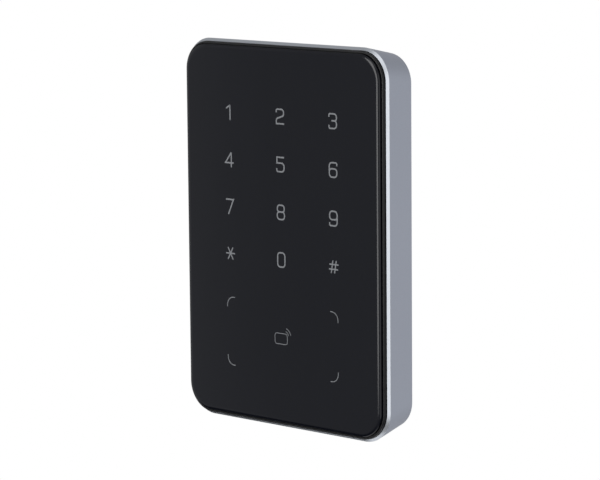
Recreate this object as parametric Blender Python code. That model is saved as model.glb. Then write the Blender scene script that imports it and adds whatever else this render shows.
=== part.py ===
"""Wall-mounted card reader with a touch keypad, modelled in metres with +Z up.

The wall is the plane y = 0 and the glass faces -Y. The origin is the middle of the face that lies
on the wall. Depths are counted from the front of the glass, and layers are stacked back from it.
"""

import math
from collections import namedtuple

import bmesh
import bpy
from mathutils import Vector

# Angle above which an edge stays sharp
SHARP_EDGE = math.radians(35)

# Gap that is left between pieces that rest on, or pass through, one another
CLEARANCE = 0.0003

# Widest outline of the body, at the outer edge of the polished chamfer
BODY_WIDTH = 0.0892
BODY_HEIGHT = 0.1260
CORNER_RADIUS = 0.0106
CORNER_SEGMENTS = 9
SMALLEST_RADIUS = 0.0008

# Layers, front to back
GLASS_THICKNESS = 0.0011
ADHESIVE_THICKNESS = 0.0003
LEDGE_THICKNESS = 0.0016
LIGHT_GUIDE_THICKNESS = 0.0030
KEYPAD_BOARD_THICKNESS = 0.0010
BOARD_GAP = 0.0016
MAIN_BOARD_THICKNESS = 0.0012
COMPONENT_ROOM = 0.0044
REAR_PLATE_THICKNESS = 0.0016
BRACKET_THICKNESS = 0.0012

# Glass
GLASS_INSET = 0.0019
GLASS_EDGE_RUN = 0.0017
GLASS_EDGE_DROP = 0.0008
EDGE_SEGMENTS = 4

# Rim of the front cover around the glass
RIM_TOP_DEPTH = 0.00095
RIM_EDGE_DEPTH = 0.00175
RIM_EDGE_INSET = 0.0010

# Front cover behind the glass
LEDGE_WIDTH = 0.0031
LEDGE_END_WIDTH = 0.0046
WINDOW_RADIUS = 0.0090
SKIRT_WALL = 0.0014
END_CHANNEL = 0.0030
ADHESIVE_EDGE_MARGIN = 0.0006
ADHESIVE_WINDOW_MARGIN = 0.0010

# Metal frame
LIP_DEPTH = 0.00207
CHAMFER_WIDTH = 0.00096
CHAMFER_DEPTH = 0.0007
BORE_INSET = 0.0042
BACK_INSET = 0.00265
BACK_CORNER_RADIUS = 0.0093
BACK_EDGE_BREAK = 0.0003

# Keypad and card zone
KEY_PITCH_X = 0.02305
KEY_PITCH_Z = 0.01555
FIRST_ROW_HEIGHT = 0.0393
KEY_WELL_WIDTH = 0.0085
KEY_WELL_HEIGHT = 0.0095
CARD_ZONE_CENTRE = -0.0330
CARD_ZONE_HALF_HEIGHT = 0.0097
CARD_WELL_SIZE = 0.0050
GUIDE_MARGIN = 0.0012
COIL_WIDTH = 0.0022
COIL_THICKNESS = 0.0024
COIL_RADIUS = 0.0050
LED_WIDTH = 0.0020
LED_HEIGHT = 0.0013
LED_THICKNESS = 0.0008

# Components on the boards: width, height and thickness of each package
Package = namedtuple("Package", "width height thickness")
TOUCH_PACKAGE = Package(0.0070, 0.0070, 0.0009)
LINK_PACKAGE = Package(0.0160, 0.0034, 0.0009)
PROCESSOR_PACKAGE = Package(0.0100, 0.0100, 0.0014)
CARD_CHIP_PACKAGE = Package(0.0060, 0.0060, 0.0009)
DRIVER_PACKAGE = Package(0.0050, 0.0062, 0.0016)
REGULATOR_PACKAGE = Package(0.0065, 0.0060, 0.0018)
INDUCTOR_PACKAGE = Package(0.0070, 0.0070, 0.0030)
CRYSTAL_PACKAGE = Package(0.0050, 0.0032, 0.0012)
CAPACITOR_PACKAGE = Package(0.0073, 0.0043, 0.0028)
TAMPER_PACKAGE = Package(0.0060, 0.0060, 0.0010)
PACKAGE_EDGE = 0.0002
COMPONENT_HEADROOM = 0.0005
SOCKET_WIDTH = 0.0180
SOCKET_HEIGHT = 0.0056
SOCKET_WALL = 0.0007
SOCKET_Z = -0.0030
BUZZER_RADIUS = 0.0045
BUZZER_HOLE_RADIUS = 0.0008
BUZZER_HOLE_DEPTH = 0.0012
BUZZER_GAP = 0.0004
BUZZER_X = -0.0150
BUZZER_Z = 0.0290

# Boards and rear plate
BOARD_MARGIN = 0.0004
BOARD_RADIUS = 0.0015
SEAL_THICKNESS = 0.0006
SEAL_MARGIN = 0.0002
TONGUE_HEIGHT = 0.0015
TONGUE_WALL = 0.0010
POST_RADIUS = 0.0024
POST_INSET = 0.0055
GROMMET_HOLE_RADIUS = 0.0060
GROMMET_FLANGE = 0.0014
GROMMET_FLANGE_THICKNESS = 0.0007
GROMMET_BORE_RADIUS = 0.0034
CABLE_EXIT_HEIGHT = -0.0180

# Screws: radius of the shank, radius and thickness of the head
Screw = namedtuple("Screw", "shank_radius head_radius head_thickness socket_radius")
CASE_SCREW = Screw(0.0011, 0.0020, 0.0013, 0.0009)
BOARD_SCREW = Screw(0.0008, 0.0016, 0.0009, 0.0007)
SECURITY_SCREW = Screw(0.0015, 0.0025, 0.0009, 0.0011)
SCREW_SEGMENTS = 16
HEAD_CROWN_RADIUS = 0.85
HEAD_CROWN_HEIGHT = 0.75
SOCKET_SHARE = 0.55
BOSS_RADIUS = 0.0024
PILLAR_RADIUS = 0.0029
PILLAR_HEIGHT = 0.0019
PILLAR_FLOOR = 0.0013
CASE_SCREW_GRIP = 0.0060
BOARD_BOSS_RADIUS = 0.0023
BOARD_BOSS_INSET = 0.0026
BOARD_SCREW_SPACING = 0.0600
BOARD_SCREW_GRIP = 0.0030
MAIN_SCREW_GRIP = 0.0042
SECURITY_SCREW_FROM_WALL = 0.0042
SECURITY_SEAT_WALL = 0.0011

# Wall bracket
BRACKET_MARGIN = 0.0022
BRACKET_RADIUS = 0.0040
CABLE_WINDOW_WIDTH = 0.0300
CABLE_WINDOW_HEIGHT = 0.0300
CABLE_WINDOW_RADIUS = 0.0040
SLOT_WIDTH = 0.0052
SLOT_LENGTH = 0.0120
VERTICAL_FIXING_PITCH = 0.0833
HORIZONTAL_FIXING_PITCH = 0.0600
TAB_THICKNESS = 0.0015
TAB_WIDTH = 0.0140
TAB_REACH = 0.0068
HOOK_THICKNESS = 0.0012
HOOK_WIDTH = 0.0100
HOOK_REACH = 0.0062
HOOK_SPACING = 0.0400
HOOK_LIP = 0.0011

# Tamper switch
TAMPER_X = 0.0120
TAMPER_Z = 0.0300
PLUNGER_RADIUS = 0.0015
PLUNGER_COLLAR_RADIUS = 0.0023
PLUNGER_COLLAR_THICKNESS = 0.0004
PLUNGER_STEM_RADIUS = 0.0006
PLUNGER_TRAVEL = 0.0012
SPRING_RADIUS = 0.0014
SPRING_WIRE_RADIUS = 0.00013
SPRING_TURNS = 2
SPRING_STEPS = 12

# How far a cutter reaches past the face it enters, and how deep a joined piece sinks in its base
OVERCUT = 0.0010
ROOT = 0.0004

# Depths that follow from the layers
ADHESIVE_FRONT = GLASS_THICKNESS + CLEARANCE
LEDGE_FRONT = ADHESIVE_FRONT + ADHESIVE_THICKNESS + CLEARANCE
FLANGE_BACK = LEDGE_FRONT + LEDGE_THICKNESS
LAND_DEPTH = FLANGE_BACK + CLEARANCE
GUIDE_BACK = LEDGE_FRONT + LIGHT_GUIDE_THICKNESS
KEYPAD_FRONT = GUIDE_BACK + CLEARANCE
KEYPAD_BACK = KEYPAD_FRONT + KEYPAD_BOARD_THICKNESS
MAIN_FRONT = KEYPAD_BACK + BOARD_GAP
MAIN_BACK = MAIN_FRONT + MAIN_BOARD_THICKNESS
REAR_FRONT = MAIN_BACK + COMPONENT_ROOM
REAR_BACK = REAR_FRONT + REAR_PLATE_THICKNESS
BRACKET_FRONT = REAR_BACK + CLEARANCE
WALL_DEPTH = BRACKET_FRONT + BRACKET_THICKNESS
FRAME_BACK = WALL_DEPTH - CLEARANCE
SKIRT_BACK = REAR_FRONT - SEAL_THICKNESS - 2 * CLEARANCE
PILLAR_FRONT = REAR_FRONT - PILLAR_HEIGHT
BOSS_BACK = PILLAR_FRONT - CLEARANCE

# Insets that follow from the pieces that they fit
RIM_INSET = GLASS_INSET - CLEARANCE
COVER_INSET = CHAMFER_WIDTH + CLEARANCE
SKIRT_INSET = BORE_INSET + CLEARANCE
CAVITY_INSET = SKIRT_INSET + SKIRT_WALL
WINDOW_INSET = CAVITY_INSET + LEDGE_WIDTH
WINDOW_END_INSET = LEDGE_END_WIDTH - LEDGE_WIDTH

Outline = namedtuple("Outline", "half_width half_height radius centre")


def body_outline(inset, end_inset=0.0, radius=None):
    """Rounded rectangle inset from the widest outline, and by end_inset more at top and bottom."""
    corner = max(CORNER_RADIUS - inset, SMALLEST_RADIUS) if radius is None else radius
    return Outline(BODY_WIDTH / 2 - inset, BODY_HEIGHT / 2 - inset - end_inset, corner, Vector((0, 0)))


def patch(width, height, radius, x=0.0, z=0.0):
    """Rounded rectangle of a given size about (x, z)."""
    return Outline(width / 2, height / 2, radius, Vector((x, z)))


def outline_points(outline):
    """Corner arcs of a rounded rectangle, anticlockwise as seen from the front."""
    points = []
    for corner, (side, end) in enumerate(((1, 1), (-1, 1), (-1, -1), (1, -1))):
        arc_x = side * (outline.half_width - outline.radius)
        arc_z = end * (outline.half_height - outline.radius)
        for step in range(CORNER_SEGMENTS + 1):
            angle = math.radians(90) * (corner + step / CORNER_SEGMENTS)
            across = arc_x + outline.radius * math.cos(angle)
            up = arc_z + outline.radius * math.sin(angle)
            points.append(outline.centre + Vector((across, up)))
    return points


def at_depth(depth):
    """The y of a depth counted from the front of the glass."""
    return depth - WALL_DEPTH


def circle_points(radius, segments):
    """Points round a circle."""
    turns = [2 * math.pi * step / segments for step in range(segments)]
    return [Vector((radius * math.cos(turn), radius * math.sin(turn))) for turn in turns]


def quarter_arc(count):
    """Steps of a quarter circle, each as the pair (1 - cos, sin) from its start to its end."""
    angles = [math.radians(90) * step / count for step in range(count + 1)]
    return [(1 - math.cos(angle), math.sin(angle)) for angle in angles]


def add_loops(mesh, sections):
    """One loop of vertices for each section, a pair of points in x and z and a depth y."""
    loops = []
    for points, y in sections:
        loops.append([mesh.verts.new((point.x, y, point.y)) for point in points])
    return loops


def bridge(mesh, first, second):
    """Quads between two loops with equal numbers of vertices."""
    count = len(first)
    for index in range(count):
        following = (index + 1) % count
        mesh.faces.new((first[index], first[following], second[following], second[index]))


def new_piece(name, mesh, material):
    """Turn a bmesh into an object with outward faces and smooth rounds."""
    bmesh.ops.recalc_face_normals(mesh, faces=mesh.faces)
    data = bpy.data.meshes.new(name)
    mesh.to_mesh(data)
    mesh.free()
    data.shade_smooth()
    data.set_sharp_from_angle(angle=SHARP_EDGE)
    piece = bpy.data.objects.new(name, data)
    bpy.context.collection.objects.link(piece)
    if material:
        data.materials.append(material)
    return piece


def stacked(name, sections, material=None):
    """Solid through a row of sections, closed by its first and its last."""
    mesh = bmesh.new()
    loops = add_loops(mesh, sections)
    for first, second in zip(loops, loops[1:]):
        bridge(mesh, first, second)
    mesh.faces.new(loops[0])
    mesh.faces.new(loops[-1])
    return new_piece(name, mesh, material)


def swept_ring(name, sections, material=None):
    """Ring through a closed cycle of sections."""
    mesh = bmesh.new()
    loops = add_loops(mesh, sections)
    for first, second in zip(loops, loops[1:] + loops[:1]):
        bridge(mesh, first, second)
    return new_piece(name, mesh, material)


def plate(name, outline, front, back, material=None):
    """Flat plate of an outline between two depths."""
    points = outline_points(outline)
    return stacked(name, [(points, at_depth(front)), (points, at_depth(back))], material)


def turned(name, profile, material=None, segments=20, closed=True):
    """Piece turned about the depth axis from pairs of radius and depth, solid or a closed ring."""
    sections = [(circle_points(radius, segments), at_depth(depth)) for radius, depth in profile]
    return stacked(name, sections, material) if closed else swept_ring(name, sections, material)


def block(name, width, height, x, z, front, back, material=None):
    """Plain block centred on (x, z) between two depths."""
    mesh = bmesh.new()
    bmesh.ops.create_cube(mesh, size=1.0)
    bmesh.ops.scale(mesh, vec=(width, back - front, height), verts=mesh.verts)
    piece = new_piece(name, mesh, material)
    piece.location = (x, at_depth((front + back) / 2), z)
    return piece


def combine(piece, other, operation):
    """Boolean of a piece with a helper shape, which is hidden."""
    other.hide_render = True
    other.display_type = "WIRE"
    modifier = piece.modifiers.new(operation.lower() + "_" + other.name, "BOOLEAN")
    modifier.operation = operation
    modifier.solver = "EXACT"
    modifier.object = other


def cut(piece, cutter):
    """Take a helper shape away from a piece."""
    combine(piece, cutter, "DIFFERENCE")


def join(piece, addition):
    """Add a helper shape to a piece."""
    combine(piece, addition, "UNION")


def drill(piece, name, radius, x, z, front, back):
    """Round hole through a piece along the depth axis."""
    cutter = turned(name, ((radius, front), (radius, back)))
    cutter.location = (x, 0, z)
    cut(piece, cutter)


def add_boss(piece, name, radius, x, z, front, back):
    """Round boss added to a piece along the depth axis."""
    boss = turned(name, ((radius, front), (radius, back)))
    boss.location = (x, 0, z)
    join(piece, boss)


def finish(name, colour, roughness, metallic=0.0):
    """Principled material of one colour."""
    material = bpy.data.materials.new(name)
    material.use_nodes = True
    shader = material.node_tree.nodes["Principled BSDF"]
    shader.inputs["Base Color"].default_value = (*colour, 1.0)
    shader.inputs["Roughness"].default_value = roughness
    shader.inputs["Metallic"].default_value = metallic
    return material


def key_places():
    """Name and centre of each of the twelve keys, row by row."""
    names = ("1", "2", "3", "4", "5", "6", "7", "8", "9", "star", "0", "hash")
    for index, name in enumerate(names):
        row, column = divmod(index, 3)
        yield name, (column - 1) * KEY_PITCH_X, FIRST_ROW_HEIGHT - row * KEY_PITCH_Z


def card_places():
    """Name and centre of the card symbol and of the four corner marks of the card zone."""
    yield "middle", 0.0, CARD_ZONE_CENTRE
    for side_name, side in (("left", -1), ("right", 1)):
        for end_name, end in (("upper", 1), ("lower", -1)):
            height = CARD_ZONE_CENTRE + end * CARD_ZONE_HALF_HEIGHT
            yield end_name + "_" + side_name, side * KEY_PITCH_X, height


def case_screw_places():
    """Name and centre of each of the four case screws, clear of the skirt's rounded corners."""
    cavity = body_outline(CAVITY_INSET, END_CHANNEL)
    reach = PILLAR_RADIUS + CLEARANCE
    corner = max(cavity.radius, reach)
    offset = corner - (corner - reach) / math.sqrt(2)
    for side_name, side in (("left", -1), ("right", 1)):
        for end_name, end in (("upper", 1), ("lower", -1)):
            across = side * (cavity.half_width - offset)
            yield end_name + "_" + side_name, across, end * (cavity.half_height - offset)


def keypad_screw_places():
    """Name and centre of each of the four screws that hold the keypad board."""
    across = body_outline(CAVITY_INSET).half_width - BOARD_BOSS_INSET
    for side_name, side in (("left", -1), ("right", 1)):
        for end_name, end in (("upper", 1), ("lower", -1)):
            yield end_name + "_" + side_name, side * across, end * BOARD_SCREW_SPACING / 2


def main_screw_places():
    """Name and centre of each of the two screws that hold the main board."""
    across = body_outline(CAVITY_INSET).half_width - POST_INSET
    return (("left", -across, 0.0), ("right", across, 0.0))


def board_outline():
    """Outline of both boards, which lie between the upper and the lower case screw bosses."""
    half_width = body_outline(CAVITY_INSET).half_width - BOARD_MARGIN
    half_height = max(z for _, _, z in case_screw_places()) - BOSS_RADIUS - CLEARANCE
    return patch(2 * half_width, 2 * half_height, BOARD_RADIUS)


def card_guide_outline():
    """Outline of the light guide of the card zone, which fits inside the antenna coil."""
    reach = CARD_WELL_SIZE / 2 + GUIDE_MARGIN
    width = 2 * (KEY_PITCH_X + reach)
    height = 2 * (CARD_ZONE_HALF_HEIGHT + reach)
    return patch(width, height, COIL_RADIUS - COIL_WIDTH - CLEARANCE, 0.0, CARD_ZONE_CENTRE)


def make_touch_glass(material):
    """Black-backed glass with a rounded front edge."""
    sections = []
    for back_off, drop in quarter_arc(EDGE_SEGMENTS):
        inset = GLASS_INSET + GLASS_EDGE_RUN * (1 - drop)
        sections.append((outline_points(body_outline(inset)), at_depth(GLASS_EDGE_DROP * back_off)))
    sections.append((outline_points(body_outline(GLASS_INSET)), at_depth(GLASS_THICKNESS)))
    return stacked("touch_glass", sections, material)


def make_glass_adhesive(material):
    """Frame of double-sided tape between the glass and the ledge of the cover."""
    outer = outline_points(body_outline(GLASS_INSET + ADHESIVE_EDGE_MARGIN))
    inner = outline_points(body_outline(WINDOW_INSET - ADHESIVE_WINDOW_MARGIN, WINDOW_END_INSET))
    front = at_depth(ADHESIVE_FRONT)
    back = at_depth(ADHESIVE_FRONT + ADHESIVE_THICKNESS)
    sections = [(outer, front), (outer, back), (inner, back), (inner, front)]
    return swept_ring("glass_adhesive", sections, material)


def make_touch_film(material):
    """Clear film with printed electrodes, inside the tape and right behind the glass."""
    inset = WINDOW_INSET - ADHESIVE_WINDOW_MARGIN + CLEARANCE
    outline = body_outline(inset, WINDOW_END_INSET)
    return plate("touch_film", outline, ADHESIVE_FRONT, ADHESIVE_FRONT + ADHESIVE_THICKNESS, material)


def make_front_cover(material):
    """Black moulded cover: rim, ledge for the glass, skirt into the frame and screw bosses."""
    sections = []
    for back_off, drop in quarter_arc(EDGE_SEGMENTS):
        inset = RIM_INSET + (RIM_EDGE_INSET - RIM_INSET) * drop
        depth = RIM_TOP_DEPTH + (RIM_EDGE_DEPTH - RIM_TOP_DEPTH) * back_off
        sections.append((outline_points(body_outline(inset)), at_depth(depth)))
    cover = outline_points(body_outline(COVER_INSET))
    skirt = outline_points(body_outline(SKIRT_INSET, END_CHANNEL))
    cavity = outline_points(body_outline(CAVITY_INSET, END_CHANNEL))
    window = outline_points(body_outline(WINDOW_INSET, WINDOW_END_INSET, WINDOW_RADIUS))
    rim = outline_points(body_outline(RIM_INSET))
    tuck = RIM_EDGE_DEPTH + COVER_INSET - RIM_EDGE_INSET
    sections.append((cover, at_depth(tuck)))
    sections.append((cover, at_depth(FLANGE_BACK)))
    sections.append((skirt, at_depth(FLANGE_BACK)))
    sections.append((skirt, at_depth(SKIRT_BACK)))
    sections.append((cavity, at_depth(SKIRT_BACK)))
    sections.append((cavity, at_depth(FLANGE_BACK)))
    sections.append((window, at_depth(FLANGE_BACK)))
    sections.append((window, at_depth(LEDGE_FRONT)))
    sections.append((rim, at_depth(LEDGE_FRONT)))
    piece = swept_ring("front_cover", sections, material)
    root = FLANGE_BACK - ROOT
    for name, x, z in case_screw_places():
        add_boss(piece, "case_boss_" + name, BOSS_RADIUS, x, z, root, BOSS_BACK)
        hole = CASE_SCREW.shank_radius + CLEARANCE
        drill(piece, "case_pilot_" + name, hole, x, z, BOSS_BACK - CASE_SCREW_GRIP, BOSS_BACK + OVERCUT)
    for name, x, z in keypad_screw_places():
        add_boss(piece, "board_boss_" + name, BOARD_BOSS_RADIUS, x, z, root, GUIDE_BACK)
        hole = BOARD_SCREW.shank_radius + CLEARANCE
        front = KEYPAD_FRONT - BOARD_SCREW_GRIP
        drill(piece, "board_pilot_" + name, hole, x, z, front, GUIDE_BACK + OVERCUT)
    return piece


def make_key_light_guide(material):
    """Moulded grid with a light well behind each of the twelve keys."""
    half_width = KEY_PITCH_X + KEY_WELL_WIDTH / 2 + GUIDE_MARGIN
    reach = KEY_WELL_HEIGHT / 2 + GUIDE_MARGIN
    top = FIRST_ROW_HEIGHT + reach
    bottom = FIRST_ROW_HEIGHT - 3 * KEY_PITCH_Z - reach
    outline = patch(2 * half_width, top - bottom, BOARD_RADIUS, 0.0, (top + bottom) / 2)
    piece = plate("key_light_guide", outline, LEDGE_FRONT, GUIDE_BACK, material)
    front = LEDGE_FRONT - OVERCUT
    back = GUIDE_BACK + OVERCUT
    for name, x, z in key_places():
        cut(piece, block("key_well_" + name, KEY_WELL_WIDTH, KEY_WELL_HEIGHT, x, z, front, back))
    return piece


def make_card_light_guide(material):
    """Moulded plate with a light well behind the card symbol and behind each corner mark."""
    piece = plate("card_light_guide", card_guide_outline(), LEDGE_FRONT, GUIDE_BACK, material)
    front = LEDGE_FRONT - OVERCUT
    back = GUIDE_BACK + OVERCUT
    for name, x, z in card_places():
        cut(piece, block("card_well_" + name, CARD_WELL_SIZE, CARD_WELL_SIZE, x, z, front, back))
    return piece


def make_antenna_coil(material):
    """Flat wound loop round the card zone, lying against the keypad board."""
    guide = card_guide_outline()
    inner_size = Vector((2 * (guide.half_width + CLEARANCE), 2 * (guide.half_height + CLEARANCE)))
    inner = patch(*inner_size, COIL_RADIUS - COIL_WIDTH, 0.0, CARD_ZONE_CENTRE)
    outer_size = inner_size + Vector((2 * COIL_WIDTH, 2 * COIL_WIDTH))
    outer = patch(*outer_size, COIL_RADIUS, 0.0, CARD_ZONE_CENTRE)
    front = at_depth(GUIDE_BACK - COIL_THICKNESS)
    back = at_depth(GUIDE_BACK)
    inside = outline_points(inner)
    outside = outline_points(outer)
    sections = [(outside, front), (outside, back), (inside, back), (inside, front)]
    return swept_ring("antenna_coil", sections, material)


def make_keypad_board(material):
    """Front circuit board, which carries the lights and the touch controller."""
    piece = plate("keypad_board", board_outline(), KEYPAD_FRONT, KEYPAD_BACK, material)
    radius = BOARD_SCREW.shank_radius + CLEARANCE
    for name, x, z in keypad_screw_places():
        drill(piece, "keypad_hole_" + name, radius, x, z, KEYPAD_FRONT - OVERCUT, KEYPAD_BACK + OVERCUT)
    return piece


def make_main_board(material):
    """Rear circuit board with the processor, the card reader chip and the cable socket."""
    piece = plate("main_board", board_outline(), MAIN_FRONT, MAIN_BACK, material)
    radius = BOARD_SCREW.shank_radius + CLEARANCE
    for name, x, z in main_screw_places():
        drill(piece, "main_hole_" + name, radius, x, z, MAIN_FRONT - OVERCUT, MAIN_BACK + OVERCUT)
    return piece


def make_lights(material):
    """Surface-mounted lights in the wells of both light guides."""
    back = KEYPAD_FRONT - CLEARANCE
    front = back - LED_THICKNESS
    for name, x, z in key_places():
        block("key_light_" + name, LED_WIDTH, LED_HEIGHT, x, z, front, back, material)
    for name, x, z in card_places():
        block("card_light_" + name, LED_WIDTH, LED_HEIGHT, x, z, front, back, material)


def on_board(name, package, x, z, board_back, material):
    """Component on the back of a board, with its corners bevelled."""
    front = board_back + CLEARANCE
    back = front + package.thickness
    piece = block(name, package.width, package.height, x, z, front, back, material)
    bevel = piece.modifiers.new("edge_break", "BEVEL")
    bevel.width = PACKAGE_EDGE
    bevel.segments = 1
    return piece


def make_keypad_components(package, socket_plastic):
    """Touch controller, and the plug that joins the keypad board to the main board."""
    on_board("touch_controller", TOUCH_PACKAGE, 0.0, 0.0150, KEYPAD_BACK, package)
    on_board("board_link", LINK_PACKAGE, 0.0, -0.0400, KEYPAD_BACK, socket_plastic)


def make_main_components(package, can, socket_plastic):
    """Components on the back of the main board, clear of the cable exit and of the posts."""
    on_board("processor", PROCESSOR_PACKAGE, -0.0180, 0.0080, MAIN_BACK, package)
    on_board("card_chip", CARD_CHIP_PACKAGE, 0.0060, -0.0300, MAIN_BACK, package)
    on_board("line_driver", DRIVER_PACKAGE, 0.0200, -0.0120, MAIN_BACK, package)
    on_board("regulator", REGULATOR_PACKAGE, -0.0040, -0.0400, MAIN_BACK, package)
    on_board("inductor", INDUCTOR_PACKAGE, -0.0170, -0.0340, MAIN_BACK, package)
    on_board("crystal", CRYSTAL_PACKAGE, -0.0180, -0.0040, MAIN_BACK, can)
    on_board("capacitor_1", CAPACITOR_PACKAGE, 0.0210, -0.0260, MAIN_BACK, package)
    on_board("capacitor_2", CAPACITOR_PACKAGE, 0.0210, -0.0340, MAIN_BACK, package)
    make_cable_socket(socket_plastic)
    make_buzzer(package)


def make_cable_socket(material):
    """Open socket for the wires, with its mouth towards the cable exit."""
    front = MAIN_BACK + CLEARANCE
    back = REAR_FRONT - COMPONENT_HEADROOM
    piece = block("cable_socket", SOCKET_WIDTH, SOCKET_HEIGHT, 0.0, SOCKET_Z, front, back, material)
    inner_width = SOCKET_WIDTH - 2 * SOCKET_WALL
    mouth = (inner_width, SOCKET_HEIGHT, 0.0, SOCKET_Z - SOCKET_WALL, front + SOCKET_WALL, back - SOCKET_WALL)
    cut(piece, block("socket_mouth", *mouth))
    return piece


def make_buzzer(material):
    """Round sounder with a hole in the middle of its lid."""
    front = MAIN_BACK + CLEARANCE
    back = REAR_FRONT - COMPONENT_HEADROOM - BUZZER_GAP
    hole_floor = back - BUZZER_HOLE_DEPTH
    profile = (
        (BUZZER_RADIUS, front),
        (BUZZER_RADIUS, back),
        (BUZZER_HOLE_RADIUS, back),
        (BUZZER_HOLE_RADIUS, hole_floor),
    )
    piece = turned("buzzer", profile, material)
    piece.location = (BUZZER_X, 0, BUZZER_Z)
    return piece


def make_rear_housing(material):
    """Rear plate with a tongue into the skirt, screw pillars, board posts and the cable exit."""
    outline = body_outline(SKIRT_INSET, END_CHANNEL)
    piece = plate("rear_housing", outline, REAR_FRONT, REAR_BACK, material)
    outer = outline_points(body_outline(CAVITY_INSET + CLEARANCE, END_CHANNEL))
    inner = outline_points(body_outline(CAVITY_INSET + CLEARANCE + TONGUE_WALL, END_CHANNEL))
    front = at_depth(REAR_FRONT - TONGUE_HEIGHT)
    back = at_depth(REAR_FRONT + ROOT)
    join(piece, swept_ring("tongue", [(outer, front), (outer, back), (inner, back), (inner, front)]))
    seat = PILLAR_FRONT + PILLAR_FLOOR
    for name, x, z in case_screw_places():
        add_boss(piece, "pillar_" + name, PILLAR_RADIUS, x, z, PILLAR_FRONT, REAR_FRONT + ROOT)
        head = CASE_SCREW.head_radius + CLEARANCE
        shank = CASE_SCREW.shank_radius + CLEARANCE
        drill(piece, "counterbore_" + name, head, x, z, seat, REAR_BACK + OVERCUT)
        drill(piece, "screw_hole_" + name, shank, x, z, PILLAR_FRONT - OVERCUT, seat + ROOT)
    for name, x, z in main_screw_places():
        top = MAIN_BACK + CLEARANCE
        add_boss(piece, "post_" + name, POST_RADIUS, x, z, top, REAR_FRONT + ROOT)
        hole = BOARD_SCREW.shank_radius + CLEARANCE
        bottom = MAIN_FRONT + MAIN_SCREW_GRIP
        drill(piece, "post_pilot_" + name, hole, x, z, top - OVERCUT, bottom)
    through = (REAR_FRONT - OVERCUT, REAR_BACK + OVERCUT)
    drill(piece, "cable_exit", GROMMET_HOLE_RADIUS, 0.0, CABLE_EXIT_HEIGHT, *through)
    drill(piece, "plunger_hole", PLUNGER_RADIUS + CLEARANCE, TAMPER_X, TAMPER_Z, *through)
    return piece


def make_housing_seal(material):
    """Flat rubber ring between the skirt of the cover and the rear plate."""
    outer = outline_points(body_outline(SKIRT_INSET + SEAL_MARGIN, END_CHANNEL))
    inner = outline_points(body_outline(CAVITY_INSET - SEAL_MARGIN, END_CHANNEL))
    front = at_depth(SKIRT_BACK + CLEARANCE)
    back = at_depth(SKIRT_BACK + CLEARANCE + SEAL_THICKNESS)
    sections = [(outer, front), (outer, back), (inner, back), (inner, front)]
    return swept_ring("housing_seal", sections, material)


def make_cable_grommet(material):
    """Rubber grommet that grips the edge of the cable exit with two flanges."""
    neck = GROMMET_HOLE_RADIUS - CLEARANCE
    flange = GROMMET_HOLE_RADIUS + GROMMET_FLANGE
    inside = REAR_FRONT - CLEARANCE
    outside = REAR_BACK + CLEARANCE
    profile = (
        (GROMMET_BORE_RADIUS, inside - GROMMET_FLANGE_THICKNESS),
        (flange, inside - GROMMET_FLANGE_THICKNESS),
        (flange, inside),
        (neck, inside),
        (neck, outside),
        (flange, outside),
        (flange, outside + GROMMET_FLANGE_THICKNESS),
        (GROMMET_BORE_RADIUS, outside + GROMMET_FLANGE_THICKNESS),
    )
    piece = turned("cable_grommet", profile, material, segments=24, closed=False)
    piece.location = (0, 0, CABLE_EXIT_HEIGHT)
    return piece


def tab_bottom():
    """Height of the underside of the bracket's tab, just above the bottom wall of the frame."""
    return -(BODY_HEIGHT / 2 - BORE_INSET - CLEARANCE)


def security_screw_depth():
    """Depth of the axis of the security screw."""
    return WALL_DEPTH - SECURITY_SCREW_FROM_WALL


def security_seat():
    """Height of the seat of the security screw's head, in the bottom wall of the frame."""
    return -(BODY_HEIGHT / 2 - BORE_INSET + SECURITY_SEAT_WALL)


def upright_rod(name, radius, bottom, top, depth, segments=20):
    """Round rod along Z."""
    mesh = bmesh.new()
    size = dict(segments=segments, radius1=radius, radius2=radius, depth=top - bottom)
    bmesh.ops.create_cone(mesh, cap_ends=True, **size)
    piece = new_piece(name, mesh, None)
    piece.location = (0, at_depth(depth), (top + bottom) / 2)
    return piece


def hook_places():
    """Name and x of each of the two hooks."""
    return (("left", -HOOK_SPACING / 2), ("right", HOOK_SPACING / 2))


def hook_top():
    """Height of the top of a hook's lip, which reaches into the frame."""
    return BODY_HEIGHT / 2 - BORE_INSET + HOOK_LIP


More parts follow.
